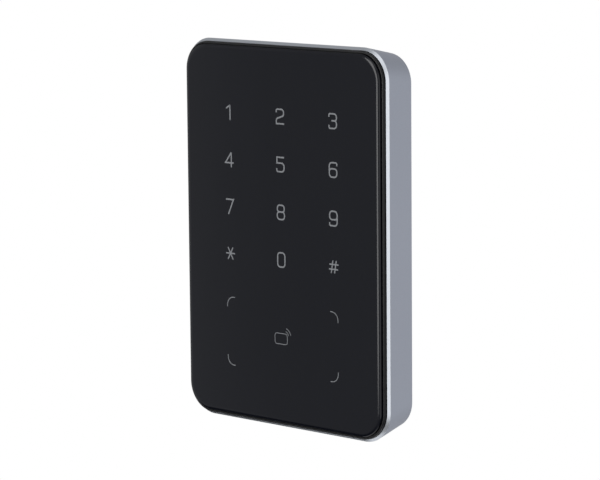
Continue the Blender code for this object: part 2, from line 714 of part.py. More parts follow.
def make_metal_frame(material):
    """Tapered metal frame: polished chamfer round the front, lip round the cover, and pockets."""
    lip = outline_points(body_outline(CHAMFER_WIDTH))
    edge = outline_points(body_outline(0.0))
    back = outline_points(body_outline(BACK_INSET, 0.0, BACK_CORNER_RADIUS))
    broken = BACK_INSET + BACK_EDGE_BREAK
    back_edge = outline_points(body_outline(broken, 0.0, BACK_CORNER_RADIUS - BACK_EDGE_BREAK))
    bore = outline_points(body_outline(BORE_INSET))
    sections = [
        (lip, at_depth(LIP_DEPTH)),
        (edge, at_depth(LIP_DEPTH + CHAMFER_DEPTH)),
        (back, at_depth(FRAME_BACK - BACK_EDGE_BREAK)),
        (back_edge, at_depth(FRAME_BACK)),
        (bore, at_depth(FRAME_BACK)),
        (bore, at_depth(LAND_DEPTH)),
        (lip, at_depth(LAND_DEPTH)),
    ]
    piece = swept_ring("metal_frame", sections, material)
    depth = security_screw_depth()
    inside = tab_bottom() + OVERCUT
    hole = SECURITY_SCREW.shank_radius + CLEARANCE
    recess = SECURITY_SCREW.head_radius + CLEARANCE
    seat = security_seat()
    cut(piece, upright_rod("security_hole", hole, seat - ROOT, inside, depth))
    cut(piece, upright_rod("security_recess", recess, -BODY_HEIGHT / 2 - OVERCUT, seat, depth))
    lip_front = WALL_DEPTH - HOOK_REACH
    top = hook_top() + CLEARANCE
    height = top - (BODY_HEIGHT / 2 - BORE_INSET) + OVERCUT
    for name, x in hook_places():
        width = HOOK_WIDTH + 2 * CLEARANCE
        front = lip_front - CLEARANCE
        rear = lip_front + HOOK_THICKNESS + CLEARANCE
        cut(piece, block("hook_pocket_" + name, width, height, x, top - height / 2, front, rear))
    return piece


def make_wall_bracket(material):
    """Steel plate with fixing slots, a cable window, two hooks and the tab of the screw."""
    outline = body_outline(BORE_INSET + BRACKET_MARGIN, 0.0, BRACKET_RADIUS)
    piece = plate("wall_bracket", outline, BRACKET_FRONT, WALL_DEPTH, material)
    bottom = tab_bottom()
    front = WALL_DEPTH - TAB_REACH
    middle = bottom + TAB_THICKNESS / 2
    join(piece, block("tab", TAB_WIDTH, TAB_THICKNESS, 0.0, middle, front, WALL_DEPTH))
    neck_top = -outline.half_height + ROOT
    neck = neck_top - bottom
    join(piece, block("tab_neck", TAB_WIDTH, neck, 0.0, neck_top - neck / 2, BRACKET_FRONT, WALL_DEPTH))
    lip_front = WALL_DEPTH - HOOK_REACH
    arm_top = outline.half_height + HOOK_THICKNESS / 2
    for name, x in hook_places():
        arm_middle = arm_top - HOOK_THICKNESS / 2
        join(piece, block("arm_" + name, HOOK_WIDTH, HOOK_THICKNESS, x, arm_middle, lip_front, WALL_DEPTH))
        rise = hook_top() - arm_top + HOOK_THICKNESS
        lip_back = lip_front + HOOK_THICKNESS
        join(piece, block("lip_" + name, HOOK_WIDTH, rise, x, hook_top() - rise / 2, lip_front, lip_back))
    through = (BRACKET_FRONT - OVERCUT, WALL_DEPTH + OVERCUT)
    size = (CABLE_WINDOW_WIDTH, CABLE_WINDOW_HEIGHT, CABLE_WINDOW_RADIUS)
    window = patch(*size, 0.0, CABLE_EXIT_HEIGHT)
    cut(piece, plate("cable_window", window, *through))
    round_end = SLOT_WIDTH / 2 - ROOT / 4
    for end_name, end in (("upper", 1), ("lower", -1)):
        slot = patch(SLOT_LENGTH, SLOT_WIDTH, round_end, 0.0, end * VERTICAL_FIXING_PITCH / 2)
        cut(piece, plate("slot_" + end_name, slot, *through))
    for side_name, side in (("left", -1), ("right", 1)):
        slot = patch(SLOT_WIDTH, SLOT_LENGTH, round_end, side * HORIZONTAL_FIXING_PITCH / 2, 0.0)
        cut(piece, plate("slot_" + side_name, slot, *through))
    drill(piece, "bracket_plunger_hole", PLUNGER_COLLAR_RADIUS, TAMPER_X, TAMPER_Z, *through)
    hole = SECURITY_SCREW.shank_radius + CLEARANCE
    top = bottom + TAB_THICKNESS + OVERCUT
    cut(piece, upright_rod("tab_hole", hole, bottom - OVERCUT, top, security_screw_depth()))
    return piece


def make_screw(name, screw, length, material):
    """Screw along Z with its head down, its tip up and its origin under the head."""
    mesh = bmesh.new()
    tip = screw.shank_radius / 2
    profile = (
        (screw.head_radius * HEAD_CROWN_RADIUS, -screw.head_thickness),
        (screw.head_radius, -screw.head_thickness * HEAD_CROWN_HEIGHT),
        (screw.head_radius, 0.0),
        (screw.shank_radius, 0.0),
        (screw.shank_radius, length - tip),
        (tip, length),
    )
    loops = []
    for radius, height in profile:
        points = circle_points(radius, SCREW_SEGMENTS)
        loops.append([mesh.verts.new((point.x, point.y, height)) for point in points])
    for first, second in zip(loops, loops[1:]):
        bridge(mesh, first, second)
    mesh.faces.new(loops[0])
    mesh.faces.new(loops[-1])
    piece = new_piece(name, mesh, material)
    socket = bmesh.new()
    depth = 2 * SOCKET_SHARE * screw.head_thickness
    size = dict(segments=6, radius1=screw.socket_radius, radius2=screw.socket_radius, depth=depth)
    bmesh.ops.create_cone(socket, cap_ends=True, **size)
    cutter = new_piece("socket_" + name, socket, None)
    cutter.parent = piece
    cutter.location = (0, 0, -screw.head_thickness)
    cut(piece, cutter)
    return piece


def make_case_screws(material):
    """Four screws through the rear plate into the bosses of the front cover."""
    seat = PILLAR_FRONT + PILLAR_FLOOR + CLEARANCE
    length = seat - BOSS_BACK + CASE_SCREW_GRIP - CLEARANCE
    for name, x, z in case_screw_places():
        piece = make_screw("case_screw_" + name, CASE_SCREW, length, material)
        piece.rotation_euler = (math.radians(90), 0, 0)
        piece.location = (x, at_depth(seat), z)


def make_board_screws(material):
    """Screws of the keypad board, from behind, and of the main board, from in front."""
    for name, x, z in keypad_screw_places():
        length = KEYPAD_BOARD_THICKNESS + BOARD_SCREW_GRIP
        piece = make_screw("keypad_screw_" + name, BOARD_SCREW, length, material)
        piece.rotation_euler = (math.radians(90), 0, 0)
        piece.location = (x, at_depth(KEYPAD_BACK + CLEARANCE), z)
    for name, x, z in main_screw_places():
        piece = make_screw("main_screw_" + name, BOARD_SCREW, MAIN_SCREW_GRIP, material)
        piece.rotation_euler = (math.radians(-90), 0, 0)
        piece.location = (x, at_depth(MAIN_FRONT - CLEARANCE), z)


def make_security_screw(material):
    """Screw up through the bottom of the frame into the bracket's tab."""
    head = security_seat() - CLEARANCE
    length = tab_bottom() + TAB_THICKNESS + ROOT - head
    piece = make_screw("security_screw", SECURITY_SCREW, length, material)
    piece.location = (0, at_depth(security_screw_depth()), head)
    return piece


def make_tamper_switch(body_plastic, plunger_plastic, wire):
    """Switch on the main board, a plunger that the wall holds in, and the spring behind it."""
    on_board("tamper_switch", TAMPER_PACKAGE, TAMPER_X, TAMPER_Z, MAIN_BACK, body_plastic)
    switch_back = MAIN_BACK + CLEARANCE + TAMPER_PACKAGE.thickness
    collar_back = REAR_FRONT - CLEARANCE - PLUNGER_TRAVEL
    collar_front = collar_back - PLUNGER_COLLAR_THICKNESS
    profile = (
        (PLUNGER_STEM_RADIUS, switch_back + CLEARANCE),
        (PLUNGER_STEM_RADIUS, collar_front),
        (PLUNGER_COLLAR_RADIUS, collar_front),
        (PLUNGER_COLLAR_RADIUS, collar_back),
        (PLUNGER_RADIUS, collar_back),
        (PLUNGER_RADIUS, WALL_DEPTH - CLEARANCE),
        (PLUNGER_RADIUS - CLEARANCE, WALL_DEPTH),
    )
    plunger = turned("tamper_plunger", profile, plunger_plastic)
    plunger.location = (TAMPER_X, 0, TAMPER_Z)
    first = switch_back + CLEARANCE / 2 + SPRING_WIRE_RADIUS
    last = collar_front - CLEARANCE / 2 - SPRING_WIRE_RADIUS
    make_spring("tamper_spring", first, last, wire)


def make_spring(name, first, last, material):
    """Coil spring about the plunger's axis between two depths."""
    steps = SPRING_STEPS * SPRING_TURNS
    curve = bpy.data.curves.new(name, "CURVE")
    curve.dimensions = "3D"
    curve.bevel_depth = SPRING_WIRE_RADIUS
    curve.bevel_resolution = 1
    curve.use_fill_caps = True
    spline = curve.splines.new("POLY")
    spline.points.add(steps)
    for step, point in enumerate(spline.points):
        turn = 2 * math.pi * SPRING_TURNS * step / steps
        y = at_depth(first + (last - first) * step / steps)
        point.co = (SPRING_RADIUS * math.cos(turn), y, SPRING_RADIUS * math.sin(turn), 1.0)
    curve.materials.append(material)
    piece = bpy.data.objects.new(name, curve)
    bpy.context.collection.objects.link(piece)
    piece.location = (TAMPER_X, 0, TAMPER_Z)
    return piece


def clear_scene():
    """Remove every object that the file opened with."""
    for item in list(bpy.data.objects):
        bpy.data.objects.remove(item, do_unlink=True)


def build_front():
    """Glass, cover and everything between them and the keypad board."""
    make_touch_glass(finish("black_glass", (0.012, 0.012, 0.014), 0.12))
    make_glass_adhesive(finish("adhesive_tape", (0.02, 0.02, 0.02), 0.80))
    make_touch_film(finish("clear_film", (0.35, 0.36, 0.38), 0.30))
    make_front_cover(finish("gloss_black_plastic", (0.014, 0.014, 0.016), 0.25))
    guide = finish("white_plastic", (0.75, 0.75, 0.73), 0.50)
    make_key_light_guide(guide)
    make_card_light_guide(guide)
    make_antenna_coil(finish("enamelled_copper", (0.55, 0.22, 0.10), 0.35, 1.0))
    make_lights(finish("light_package", (0.85, 0.84, 0.74), 0.40))


def build_electronics():
    """Both boards with their components and the tamper switch."""
    board = finish("board_green", (0.02, 0.13, 0.06), 0.45)
    make_keypad_board(board)
    make_main_board(board)
    package = finish("package_black", (0.03, 0.03, 0.03), 0.60)
    can = finish("steel_can", (0.62, 0.62, 0.63), 0.35, 1.0)
    socket_plastic = finish("socket_ivory", (0.70, 0.66, 0.55), 0.50)
    make_keypad_components(package, socket_plastic)
    make_main_components(package, can, socket_plastic)
    plunger = finish("plunger_plastic", (0.60, 0.05, 0.04), 0.50)
    wire = finish("spring_steel", (0.55, 0.55, 0.56), 0.30, 1.0)
    make_tamper_switch(package, plunger, wire)


def build_case():
    """Frame, rear plate, seals, bracket and screws."""
    make_metal_frame(finish("satin_aluminium", (0.36, 0.37, 0.41), 0.38, 1.0))
    make_rear_housing(finish("matte_black_plastic", (0.020, 0.020, 0.021), 0.60))
    rubber = finish("black_rubber", (0.015, 0.015, 0.015), 0.80)
    make_housing_seal(rubber)
    make_cable_grommet(rubber)
    make_wall_bracket(finish("zinc_plated_steel", (0.58, 0.58, 0.57), 0.42, 1.0))
    screw_steel = finish("screw_steel", (0.50, 0.50, 0.50), 0.35, 1.0)
    make_case_screws(screw_steel)
    make_board_screws(screw_steel)
    make_security_screw(screw_steel)


def main():
    """Build the whole reader."""
    clear_scene()
    build_front()
    build_electronics()
    build_case()


main()
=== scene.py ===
"""Looks of a wall-mounted card reader with a touch keypad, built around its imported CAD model.

Lengths are metres in the model's own frame: +Z up, the glass faces -Y, the wall is the plane y = 0.
"""

from __future__ import annotations

import logging
import math
from dataclasses import dataclass
from enum import Enum
from typing import Any, Mapping, Sequence, Union

import bmesh
import bpy
from mathutils import Matrix, Vector


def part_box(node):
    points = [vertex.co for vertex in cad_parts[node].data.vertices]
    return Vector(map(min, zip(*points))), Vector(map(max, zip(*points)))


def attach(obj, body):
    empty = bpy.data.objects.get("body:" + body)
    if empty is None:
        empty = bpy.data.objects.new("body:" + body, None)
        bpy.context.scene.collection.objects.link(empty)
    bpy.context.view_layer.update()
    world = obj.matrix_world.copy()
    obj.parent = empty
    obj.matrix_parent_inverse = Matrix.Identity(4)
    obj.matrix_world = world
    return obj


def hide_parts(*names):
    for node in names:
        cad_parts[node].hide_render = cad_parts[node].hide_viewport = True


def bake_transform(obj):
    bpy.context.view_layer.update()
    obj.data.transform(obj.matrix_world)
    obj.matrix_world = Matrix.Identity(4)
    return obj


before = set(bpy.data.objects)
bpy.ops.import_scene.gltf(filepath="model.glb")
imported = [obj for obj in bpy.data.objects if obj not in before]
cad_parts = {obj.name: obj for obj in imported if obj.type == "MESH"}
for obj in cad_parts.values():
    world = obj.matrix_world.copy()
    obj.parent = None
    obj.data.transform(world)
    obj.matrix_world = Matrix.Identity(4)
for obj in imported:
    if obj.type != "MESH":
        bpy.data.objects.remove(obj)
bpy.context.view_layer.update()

LOG = logging.getLogger("card_reader")
MM = 0.001
SHARP_EDGE = math.radians(32)
LONGEST_FILLET = 0.495
SHARPEST_MITRE = 0.35
FULL_TURN = 2 * math.pi
Operand = Union["Signal", float]
Colour = tuple[float, float, float]


class Body(Enum):
    """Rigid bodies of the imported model."""

    CASE = "root"
    PLUNGER = "plunger"
    SCREW = "screw"


class Closing(Enum):
    """How a row of sections becomes a closed body."""

    RING = "ring"
    SOLID = "solid"


# ---------------------------------------------------------------------------------------------
# Shader maths
# ---------------------------------------------------------------------------------------------


class Signal:
    """A shader socket whose arithmetic is written with Python's operators."""

    def __init__(self, graph: "Graph", socket: bpy.types.NodeSocket) -> None:
        """Wrap a socket of a graph.

        Args:
            graph: The graph that new Math nodes are added to.
            socket: The output socket to wrap.
        """
        self.graph = graph
        self.socket = socket

    def _math(self, operation: str, first: Operand, second: Operand = 0.0) -> "Signal":
        """Add a Math node and return its result."""
        return self.graph.node("ShaderNodeMath", {"operation": operation}, {0: first, 1: second})

    def __add__(self, other: Operand) -> "Signal":
        """Sum of two signals."""
        return self._math("ADD", self, other)

    __radd__ = __add__

    def __sub__(self, other: Operand) -> "Signal":
        """Difference of two signals."""
        return self._math("SUBTRACT", self, other)

    def __rsub__(self, other: Operand) -> "Signal":
        """Difference with the signal on the right."""
        return self._math("SUBTRACT", other, self)

    def __mul__(self, other: Operand) -> "Signal":
        """Product of two signals."""
        return self._math("MULTIPLY", self, other)

    __rmul__ = __mul__

    def above(self, level: Operand) -> "Signal":
        """One where the signal is above a level, and zero elsewhere."""
        return self._math("GREATER_THAN", self, level)

    def sine(self) -> "Signal":
        """Sine of the signal."""
        return self._math("SINE", self)

    def absolute(self) -> "Signal":
        """Absolute value of the signal."""
        return self._math("ABSOLUTE", self)

    def larger(self, other: Operand) -> "Signal":
        """Larger of two signals."""
        return self._math("MAXIMUM", self, other)


class Graph:
    """Node tree of a material, whose Principled shader is on its output, or of a world."""

    def __init__(self, name: str, owner: bpy.types.ID | None = None) -> None:
        """Start a material, or work on the node tree of a world.

        Args:
            name: Name of the material.
            owner: The world, where there is no material.
        """
        self.material = owner or bpy.data.materials.new(name)
        self.material.use_nodes = True
        self.tree = self.material.node_tree
        self.shader = self.tree.nodes.get("Principled BSDF")
        self._place: Signal | None = None

    def node(
        self,
        kind: str,
        settings: Mapping[str, Any] | None = None,
        inputs: Mapping[Any, Any] | None = None,
        output: Any = 0,
    ) -> Signal:
        """Add one node.

        Args:
            kind: Blender's name of the node type.
            settings: Properties that are set before the sockets, and a ramp's stops.
            inputs: Values or signals of the sockets, by name or index.
            output: Name or index of the output to return.

        Returns:
            The chosen output as a signal.
        """
        node = self.tree.nodes.new(kind)
        for key, value in (settings or {}).items():
            if key == "stops":
                set_stops(node.color_ramp.elements, value)
            else:
                setattr(node, key, value)
        for key, value in (inputs or {}).items():
            self.plug(node.inputs[key], value)
        return Signal(self, node.outputs[output])

    def plug(self, socket: bpy.types.NodeSocket, value: Any) -> None:
        """Link a signal to a socket, or set the socket's own value.

        Args:
            socket: The input socket.
            value: A signal, or what the socket takes.
        """
        if isinstance(value, Signal):
            self.tree.links.new(value.socket, socket)
        else:
            socket.default_value = value

    def set(self, **values: Any) -> None:
        """Set or link sockets of the Principled shader.

        Args:
            values: Values or signals by socket name, with spaces written as underscores.
        """
        for key, value in values.items():
            name = key.replace("_", " ")
            if isinstance(value, tuple) and len(value) == 3 and name != "Normal":
                value = (*value, 1.0)
            self.plug(self.shader.inputs[name], value)

    def place(self) -> Signal:
        """Find where the surface is in the piece's own space.

        Returns:
            The coordinates, in metres.
        """
        if self._place is None:
            self._place = self.node("ShaderNodeTexCoord", output="Object")
        return self._place

    def stretched(self, scale: Vector | tuple[float, float, float]) -> Signal:
        """Coordinates multiplied by a scale along each axis."""
        inputs = {0: self.place(), 1: tuple(scale)}
        return self.node("ShaderNodeVectorMath", {"operation": "MULTIPLY"}, inputs)

    def axis(self, name: str) -> Signal:
        """One of the coordinates X, Y or Z."""
        return self.node("ShaderNodeSeparateXYZ", inputs={0: self.place()}, output=name)

    def noise(self, size: float, detail: float = 2.0, stretch: Sequence[float] = (1, 1, 1)) -> Signal:
        """Noise about 0.5 whose features have about a given size.

        Args:
            size: Width of a feature, in metres.
            detail: Number of finer layers.
            stretch: Factor on each axis, smaller for features drawn out along it.

        Returns:
            The noise.
        """
        inputs = {"Vector": self.stretched(stretch), "Scale": 1.0 / size, "Detail": detail}
        return self.node("ShaderNodeTexNoise", inputs=inputs)

    def rise(self, signal: Signal, low: float, high: float, bottom: float = 0.0, top: float = 1.0) -> Signal:
        """Smooth step of a signal, from bottom at low to top at high."""
        inputs = {"Value": signal, "From Min": low, "From Max": high, "To Min": bottom, "To Max": top}
        return self.node("ShaderNodeMapRange", {"interpolation_type": "SMOOTHSTEP"}, inputs)

    def cells(self, size: float) -> Signal:
        """Give each cell of an irregular pattern a random value.

        Args:
            size: Width of a cell, in metres.

        Returns:
            The values.
        """
        inputs = {"Vector": self.place(), "Scale": 1.0 / size}
        colour = self.node("ShaderNodeTexVoronoi", inputs=inputs, output="Color")
        return self.node("ShaderNodeSeparateColor", inputs={0: colour})

    def ramp(self, signal: Signal, *stops: tuple[float, float]) -> Signal:
        """Signal mapped through two grey stops, each with its place and level."""
        return self.node("ShaderNodeValToRGB", {"stops": stops}, {0: signal})

    def mix(self, factor: Operand, first: Colour, second: Colour) -> Signal:
        """Mix two colours.

        Args:
            factor: Share of the second colour.
            first: Colour where the factor is 0.
            second: Colour where the factor is 1.

        Returns:
            The mixed colour.
        """
        inputs = {0: factor, 6: (*first, 1.0), 7: (*second, 1.0)}
        return self.node("ShaderNodeMix", {"data_type": "RGBA"}, inputs, output=2)

    def bump(self, height: Signal, depth: float, strength: float = 1.0) -> Signal:
        """Normal of a surface raised by a height signal times a depth in metres."""
        inputs = {"Height": height, "Distance": depth, "Strength": strength}
        return self.node("ShaderNodeBump", inputs=inputs)


def set_stops(elements: bpy.types.ColorRampElements, stops: Sequence[tuple[float, float]]) -> None:
    """Move the two elements of a new ramp to their stops.

    Args:
        elements: The ramp's elements.
        stops: Place and grey level of each.
    """
    for element, (position, level) in zip(elements, stops):
        element.position = position
        element.color = (level, level, level, 1.0)


# ---------------------------------------------------------------------------------------------
# Finishes
# ---------------------------------------------------------------------------------------------


@dataclass(frozen=True)
class BlackGlass:
    """Black-backed glass: deep gloss with a trace of wiping marks."""

    name: str = "black_glass"
    colour: Colour = (0.0040, 0.0048, 0.0094)
    wiped: Colour = (0.0050, 0.0058, 0.0108)
    roughness: float = 0.10
    mark: float = 0.018
    ripple: float = 0.035
    relief: float = 0.00002

    def make(self) -> bpy.types.Material:
        """Make the material.

        Returns:
            The material.
        """
        graph = Graph(self.name)
        marks = graph.noise(self.mark, 3.0, (1.0, 1.0, 0.35))
        graph.set(Base_Color=graph.mix(marks, self.colour, self.wiped))
        graph.set(Roughness=self.roughness + marks * 0.04, IOR=1.50)
        graph.set(Normal=graph.bump(graph.noise(self.ripple, 1.0), self.relief, 0.3))
        return graph.material


@dataclass(frozen=True)
class Plastic:
    """Moulded plastic with a spark-eroded or polished skin."""

    name: str
    colour: Colour
    roughness: float
    grain: float = 0.0006
    relief: float = 0.000012
    shift: float = 0.25
    flow: float = 0.02

    def make(self) -> bpy.types.Material:
        """Make the material.

        Returns:
            The material.
        """
        graph = Graph(self.name)
        grain = graph.noise(self.grain, 3.0)
        flow = graph.noise(self.flow, 2.0)
        pale = tuple(min(1.0, channel * (1.0 + self.shift)) for channel in self.colour)
        graph.set(Base_Color=graph.mix(flow * 0.6 + grain * 0.4, self.colour, pale))
        graph.set(Roughness=self.roughness - 0.05 + grain * 0.10, IOR=1.49)
        graph.set(Normal=graph.bump(grain, self.relief, 0.6))
        return graph.material


@dataclass(frozen=True)
class BlastedMetal:
    """Anodised metal with a fine blasted grain."""

    name: str = "satin_aluminium"
    colour: Colour = (0.535, 0.565, 0.655)
    pale: Colour = (0.605, 0.635, 0.725)
    roughness: float = 0.42
    grain: float = 0.00035
    cloud: float = 0.030
    relief: float = 0.000030

    def make(self) -> bpy.types.Material:
        """Make the material.

        Returns:
            The material.
        """
        graph = Graph(self.name)
        grain = graph.noise(self.grain, 2.0)
        speckle = graph.ramp(grain, (0.35, 0.0), (0.65, 1.0))
        clouds = graph.noise(self.cloud, 2.0)
        graph.set(Base_Color=graph.mix(speckle * 0.55 + clouds * 0.45, self.colour, self.pale))
        graph.set(Metallic=1.0, Roughness=self.roughness + (grain - 0.5) * 0.18)
        graph.set(Normal=graph.bump(grain, self.relief, 0.45))
        return graph.material


@dataclass(frozen=True)
class CutChamfer:
    """Bright cut face of the chamfer, with faint lines left by the cutter."""

    name: str = "cut_chamfer"
    colour: Colour = (0.85, 0.89, 0.97)
    pale: Colour = (0.91, 0.95, 1.00)
    roughness: float = 0.30
    line: float = 0.00015
    relief: float = 0.000003

    def make(self) -> bpy.types.Material:
        """Make the material.

        Returns:
            The material.
        """
        graph = Graph(self.name)
        lines = graph.noise(self.line, 1.0, (1.0, 3.0, 0.05))
        graph.set(Base_Color=graph.mix(lines, self.colour, self.pale))
        graph.set(Metallic=1.0, Roughness=self.roughness + lines * 0.08)
        graph.set(Normal=graph.bump(lines, self.relief, 0.3))
        return graph.material


@dataclass(frozen=True)
class PlatedSteel:
    """Zinc or nickel plated steel with rolling lines and cloudy plating."""

    name: str
    colour: Colour
    pale: Colour
    roughness: float
    rolling: Sequence[float] = (1.0, 1.0, 0.03)
    line: float = 0.0004
    spangle: float = 0.004
    cloud: float = 0.012
    relief: float = 0.000008

    def make(self) -> bpy.types.Material:
        """Make the material.

        Returns:
            The material.
        """
        graph = Graph(self.name)
        lines = graph.noise(self.line, 3.0, self.rolling)
        spangle = graph.cells(self.spangle)
        clouds = graph.noise(self.cloud, 3.0)
        tone = lines * 0.4 + spangle * 0.2 + clouds * 0.4
        graph.set(Base_Color=graph.mix(tone, self.colour, self.pale), Metallic=1.0)
        graph.set(Roughness=self.roughness + (clouds - 0.5) * 0.16 + (lines - 0.5) * 0.1)
        graph.set(Normal=graph.bump(lines, self.relief, 0.5))
        return graph.material


@dataclass(frozen=True)
class Rubber:
    """Soft black rubber with a dusty bloom."""

    name: str = "black_rubber"
    colour: Colour = (0.012, 0.012, 0.012)
    bloom: Colour = (0.030, 0.030, 0.029)
    roughness: float = 0.68
    dust: float = 0.003
    grain: float = 0.0004
    relief: float = 0.00002

    def make(self) -> bpy.types.Material:
        """Make the material.

        Returns:
            The material.
        """
        graph = Graph(self.name)
        dust = graph.noise(self.dust, 4.0)
        graph.set(Base_Color=graph.mix(dust, self.colour, self.bloom))
        graph.set(Roughness=self.roughness + dust * 0.2)
        graph.set(Normal=graph.bump(graph.noise(self.grain, 2.0), self.relief, 0.5))
        return graph.material


@dataclass(frozen=True)
class SolderMask:
    """Green circuit board: tracks under the mask, seen as paler, raised lines."""

    name: str = "solder_mask"
    mask: Colour = (0.006, 0.070, 0.030)
    track: Colour = (0.020, 0.155, 0.070)
    pitch: float = 0.0021
    patch: float = 0.0085
    weave: float = 0.002
    relief: float = 0.00003

    def make(self) -> bpy.types.Material:
        """Make the material.

        Returns:
            The material.
        """
        graph = Graph(self.name)
        turn = FULL_TURN / self.pitch
        wander = graph.cells(self.patch)
        across = (graph.axis("X") * turn).sine()
        upward = (graph.axis("Z") * turn).sine()
        runs = across * wander.above(0.5) + upward * (1 - wander.above(0.5))
        tracks = runs.above(0.35)
        graph.set(Base_Color=graph.mix(tracks, self.mask, self.track))
        graph.set(Roughness=0.34 + graph.noise(self.weave) * 0.12, Coat_Weight=0.2)
        graph.set(Normal=graph.bump(tracks, self.relief, 0.5))
        return graph.material


@dataclass(frozen=True)
class ChipPackage:
    """Moulded epoxy package with a fine speckle."""

    name: str = "chip_package"
    colour: Colour = (0.018, 0.018, 0.019)
    speck: Colour = (0.050, 0.050, 0.052)
    grain: float = 0.00018
    relief: float = 0.00001

    def make(self) -> bpy.types.Material:
        """Make the material.

        Returns:
            The material.
        """
        graph = Graph(self.name)
        grain = graph.noise(self.grain, 2.0)
        specks = graph.ramp(grain, (0.55, 0.0), (0.68, 1.0))
        graph.set(Base_Color=graph.mix(specks, self.colour, self.speck))
        graph.set(Roughness=0.52 + grain * 0.16)
        graph.set(Normal=graph.bump(grain, self.relief, 0.4))
        return graph.material


@dataclass(frozen=True)
class WoundCopper:
    """Enamelled wire, wound side by side round the card zone, with painted shade in the grooves between turns
    and a painted highlight on each crest.
    """

    name: str = "wound_copper"
    # colour is the copper painted in shade, in the grooves; pale is the copper painted lit, on the crests
    colour: Colour = (0.40, 0.13, 0.045)
    pale: Colour = (0.72, 0.33, 0.14)
    centre: float = -0.033
    half_width: float = 0.0290
    half_height: float = 0.0157
    pitch: float = 0.00032
    streak: float = 0.001
    relief: float = 0.00008

    def make(self) -> bpy.types.Material:
        """Make the material.

        Returns:
            The material.
        """
        graph = Graph(self.name)
        across = graph.axis("X").absolute() - self.half_width
        upward = (graph.axis("Z") - self.centre).absolute() - self.half_height
        # The same wave raises each turn and paints it: painted highlight on its crest, painted shade in the
        # groove between turns.
        strand_relief_and_painted_shade = (across.larger(upward) * (FULL_TURN / self.pitch)).sine() * 0.5 + 0.5
        graph.set(Base_Color=graph.mix(strand_relief_and_painted_shade, self.colour, self.pale), Metallic=1.0)
        graph.set(Roughness=0.28 + graph.noise(self.streak) * 0.15, Coat_Weight=0.5)
        graph.set(Normal=graph.bump(strand_relief_and_painted_shade, self.relief, 0.7))
        return graph.material


@dataclass(frozen=True)
class PrintedInk:
    """Pale print behind the surface of the glass, as glossy as the glass itself."""

    name: str = "printed_ink"
    colour: Colour = (0.365, 0.375, 0.395)
    thin: Colour = (0.31, 0.32, 0.34)
    roughness: float = 0.06
    patch: float = 0.0012

    def make(self) -> bpy.types.Material:
        """Make the material.

        Returns:
            The material.
        """
        graph = Graph(self.name)
        cover = graph.noise(self.patch, 3.0)
        graph.set(Base_Color=graph.mix(cover, self.thin, self.colour))
        graph.set(Roughness=self.roughness + cover * 0.03, IOR=1.50)
        return graph.material


@dataclass(frozen=True)
class LightPackage:
    """White light package with a yellow window in the middle of its front."""

    name: str = "light_package"
    case: Colour = (0.78, 0.77, 0.72)
    window: Colour = (0.85, 0.72, 0.18)
    grain: float = 0.0004
    relief: float = 0.00001

    def make(self) -> bpy.types.Material:
        """Make the material.

        Returns:
            The material.
        """
        graph = Graph(self.name)
        facing = graph.node("ShaderNodeNewGeometry", output="Normal")
        forward = graph.node("ShaderNodeSeparateXYZ", inputs={0: facing}, output="Y")
        front = (forward * -1.0).above(0.5)
        cover = graph.noise(self.grain, 2.0)
        graph.set(Base_Color=graph.mix(front * (0.75 + cover * 0.3), self.case, self.window))
        graph.set(Roughness=0.35 + cover * 0.15)
        graph.set(Normal=graph.bump(cover, self.relief, 0.4))
        return graph.material


class Palette:
    """Every finish of the reader, made once."""

    def __init__(self) -> None:
        """Make all the materials."""
        self.glass = BlackGlass().make()
        self.ink = PrintedInk().make()
        self.rim = Plastic("rim_plastic", (0.0045, 0.0046, 0.0058), 0.36, 0.0009, 0.000002).make()
        self.metal = BlastedMetal().make()
        self.chamfer = CutChamfer().make()
        self.case = Plastic("case_plastic", (0.016, 0.016, 0.017), 0.58, 0.0005, 0.00003, 0.5).make()
        self.rubber = Rubber().make()
        zinc = ((0.52, 0.52, 0.50), (0.68, 0.68, 0.65))
        self.bracket = PlatedSteel("zinc_plated_sheet", *zinc, 0.40).make()
        nickel = ((0.55, 0.54, 0.52), (0.66, 0.65, 0.63))
        self.screw = PlatedSteel("plated_screw", *nickel, 0.28, (1, 1, 1), 0.0003).make()
        self.wire = PlatedSteel("spring_wire", *nickel, 0.25, (1, 1, 1), 0.0002).make()
        self.can = PlatedSteel("pressed_can", *nickel, 0.32, (1, 1, 0.1), 0.0003).make()
        self.plunger = Plastic("red_plastic", (0.42, 0.022, 0.016), 0.42).make()
        self.nylon = Plastic("ivory_nylon", (0.62, 0.57, 0.45), 0.48, 0.0008).make()
        self.diffuser = Plastic("white_diffuser", (0.74, 0.74, 0.72), 0.50, 0.0008, 0.00001, 0.06).make()
        self.film = Plastic("electrode_film", (0.27, 0.28, 0.30), 0.26, 0.0015).make()
        self.tape = Plastic("adhesive_tape", (0.016, 0.016, 0.016), 0.78, 0.0003, 0.00003).make()
        self.board = SolderMask().make()
        self.chip = ChipPackage().make()
        self.copper = WoundCopper().make()
        self.light = LightPackage().make()


# ---------------------------------------------------------------------------------------------
# Mesh tools
# ---------------------------------------------------------------------------------------------


@dataclass(frozen=True)
class Corner:
    """One corner of a profile, as a vector whose first two numbers are its place, and a fillet."""

    point: tuple[float, ...]
    fillet: float = 0.0


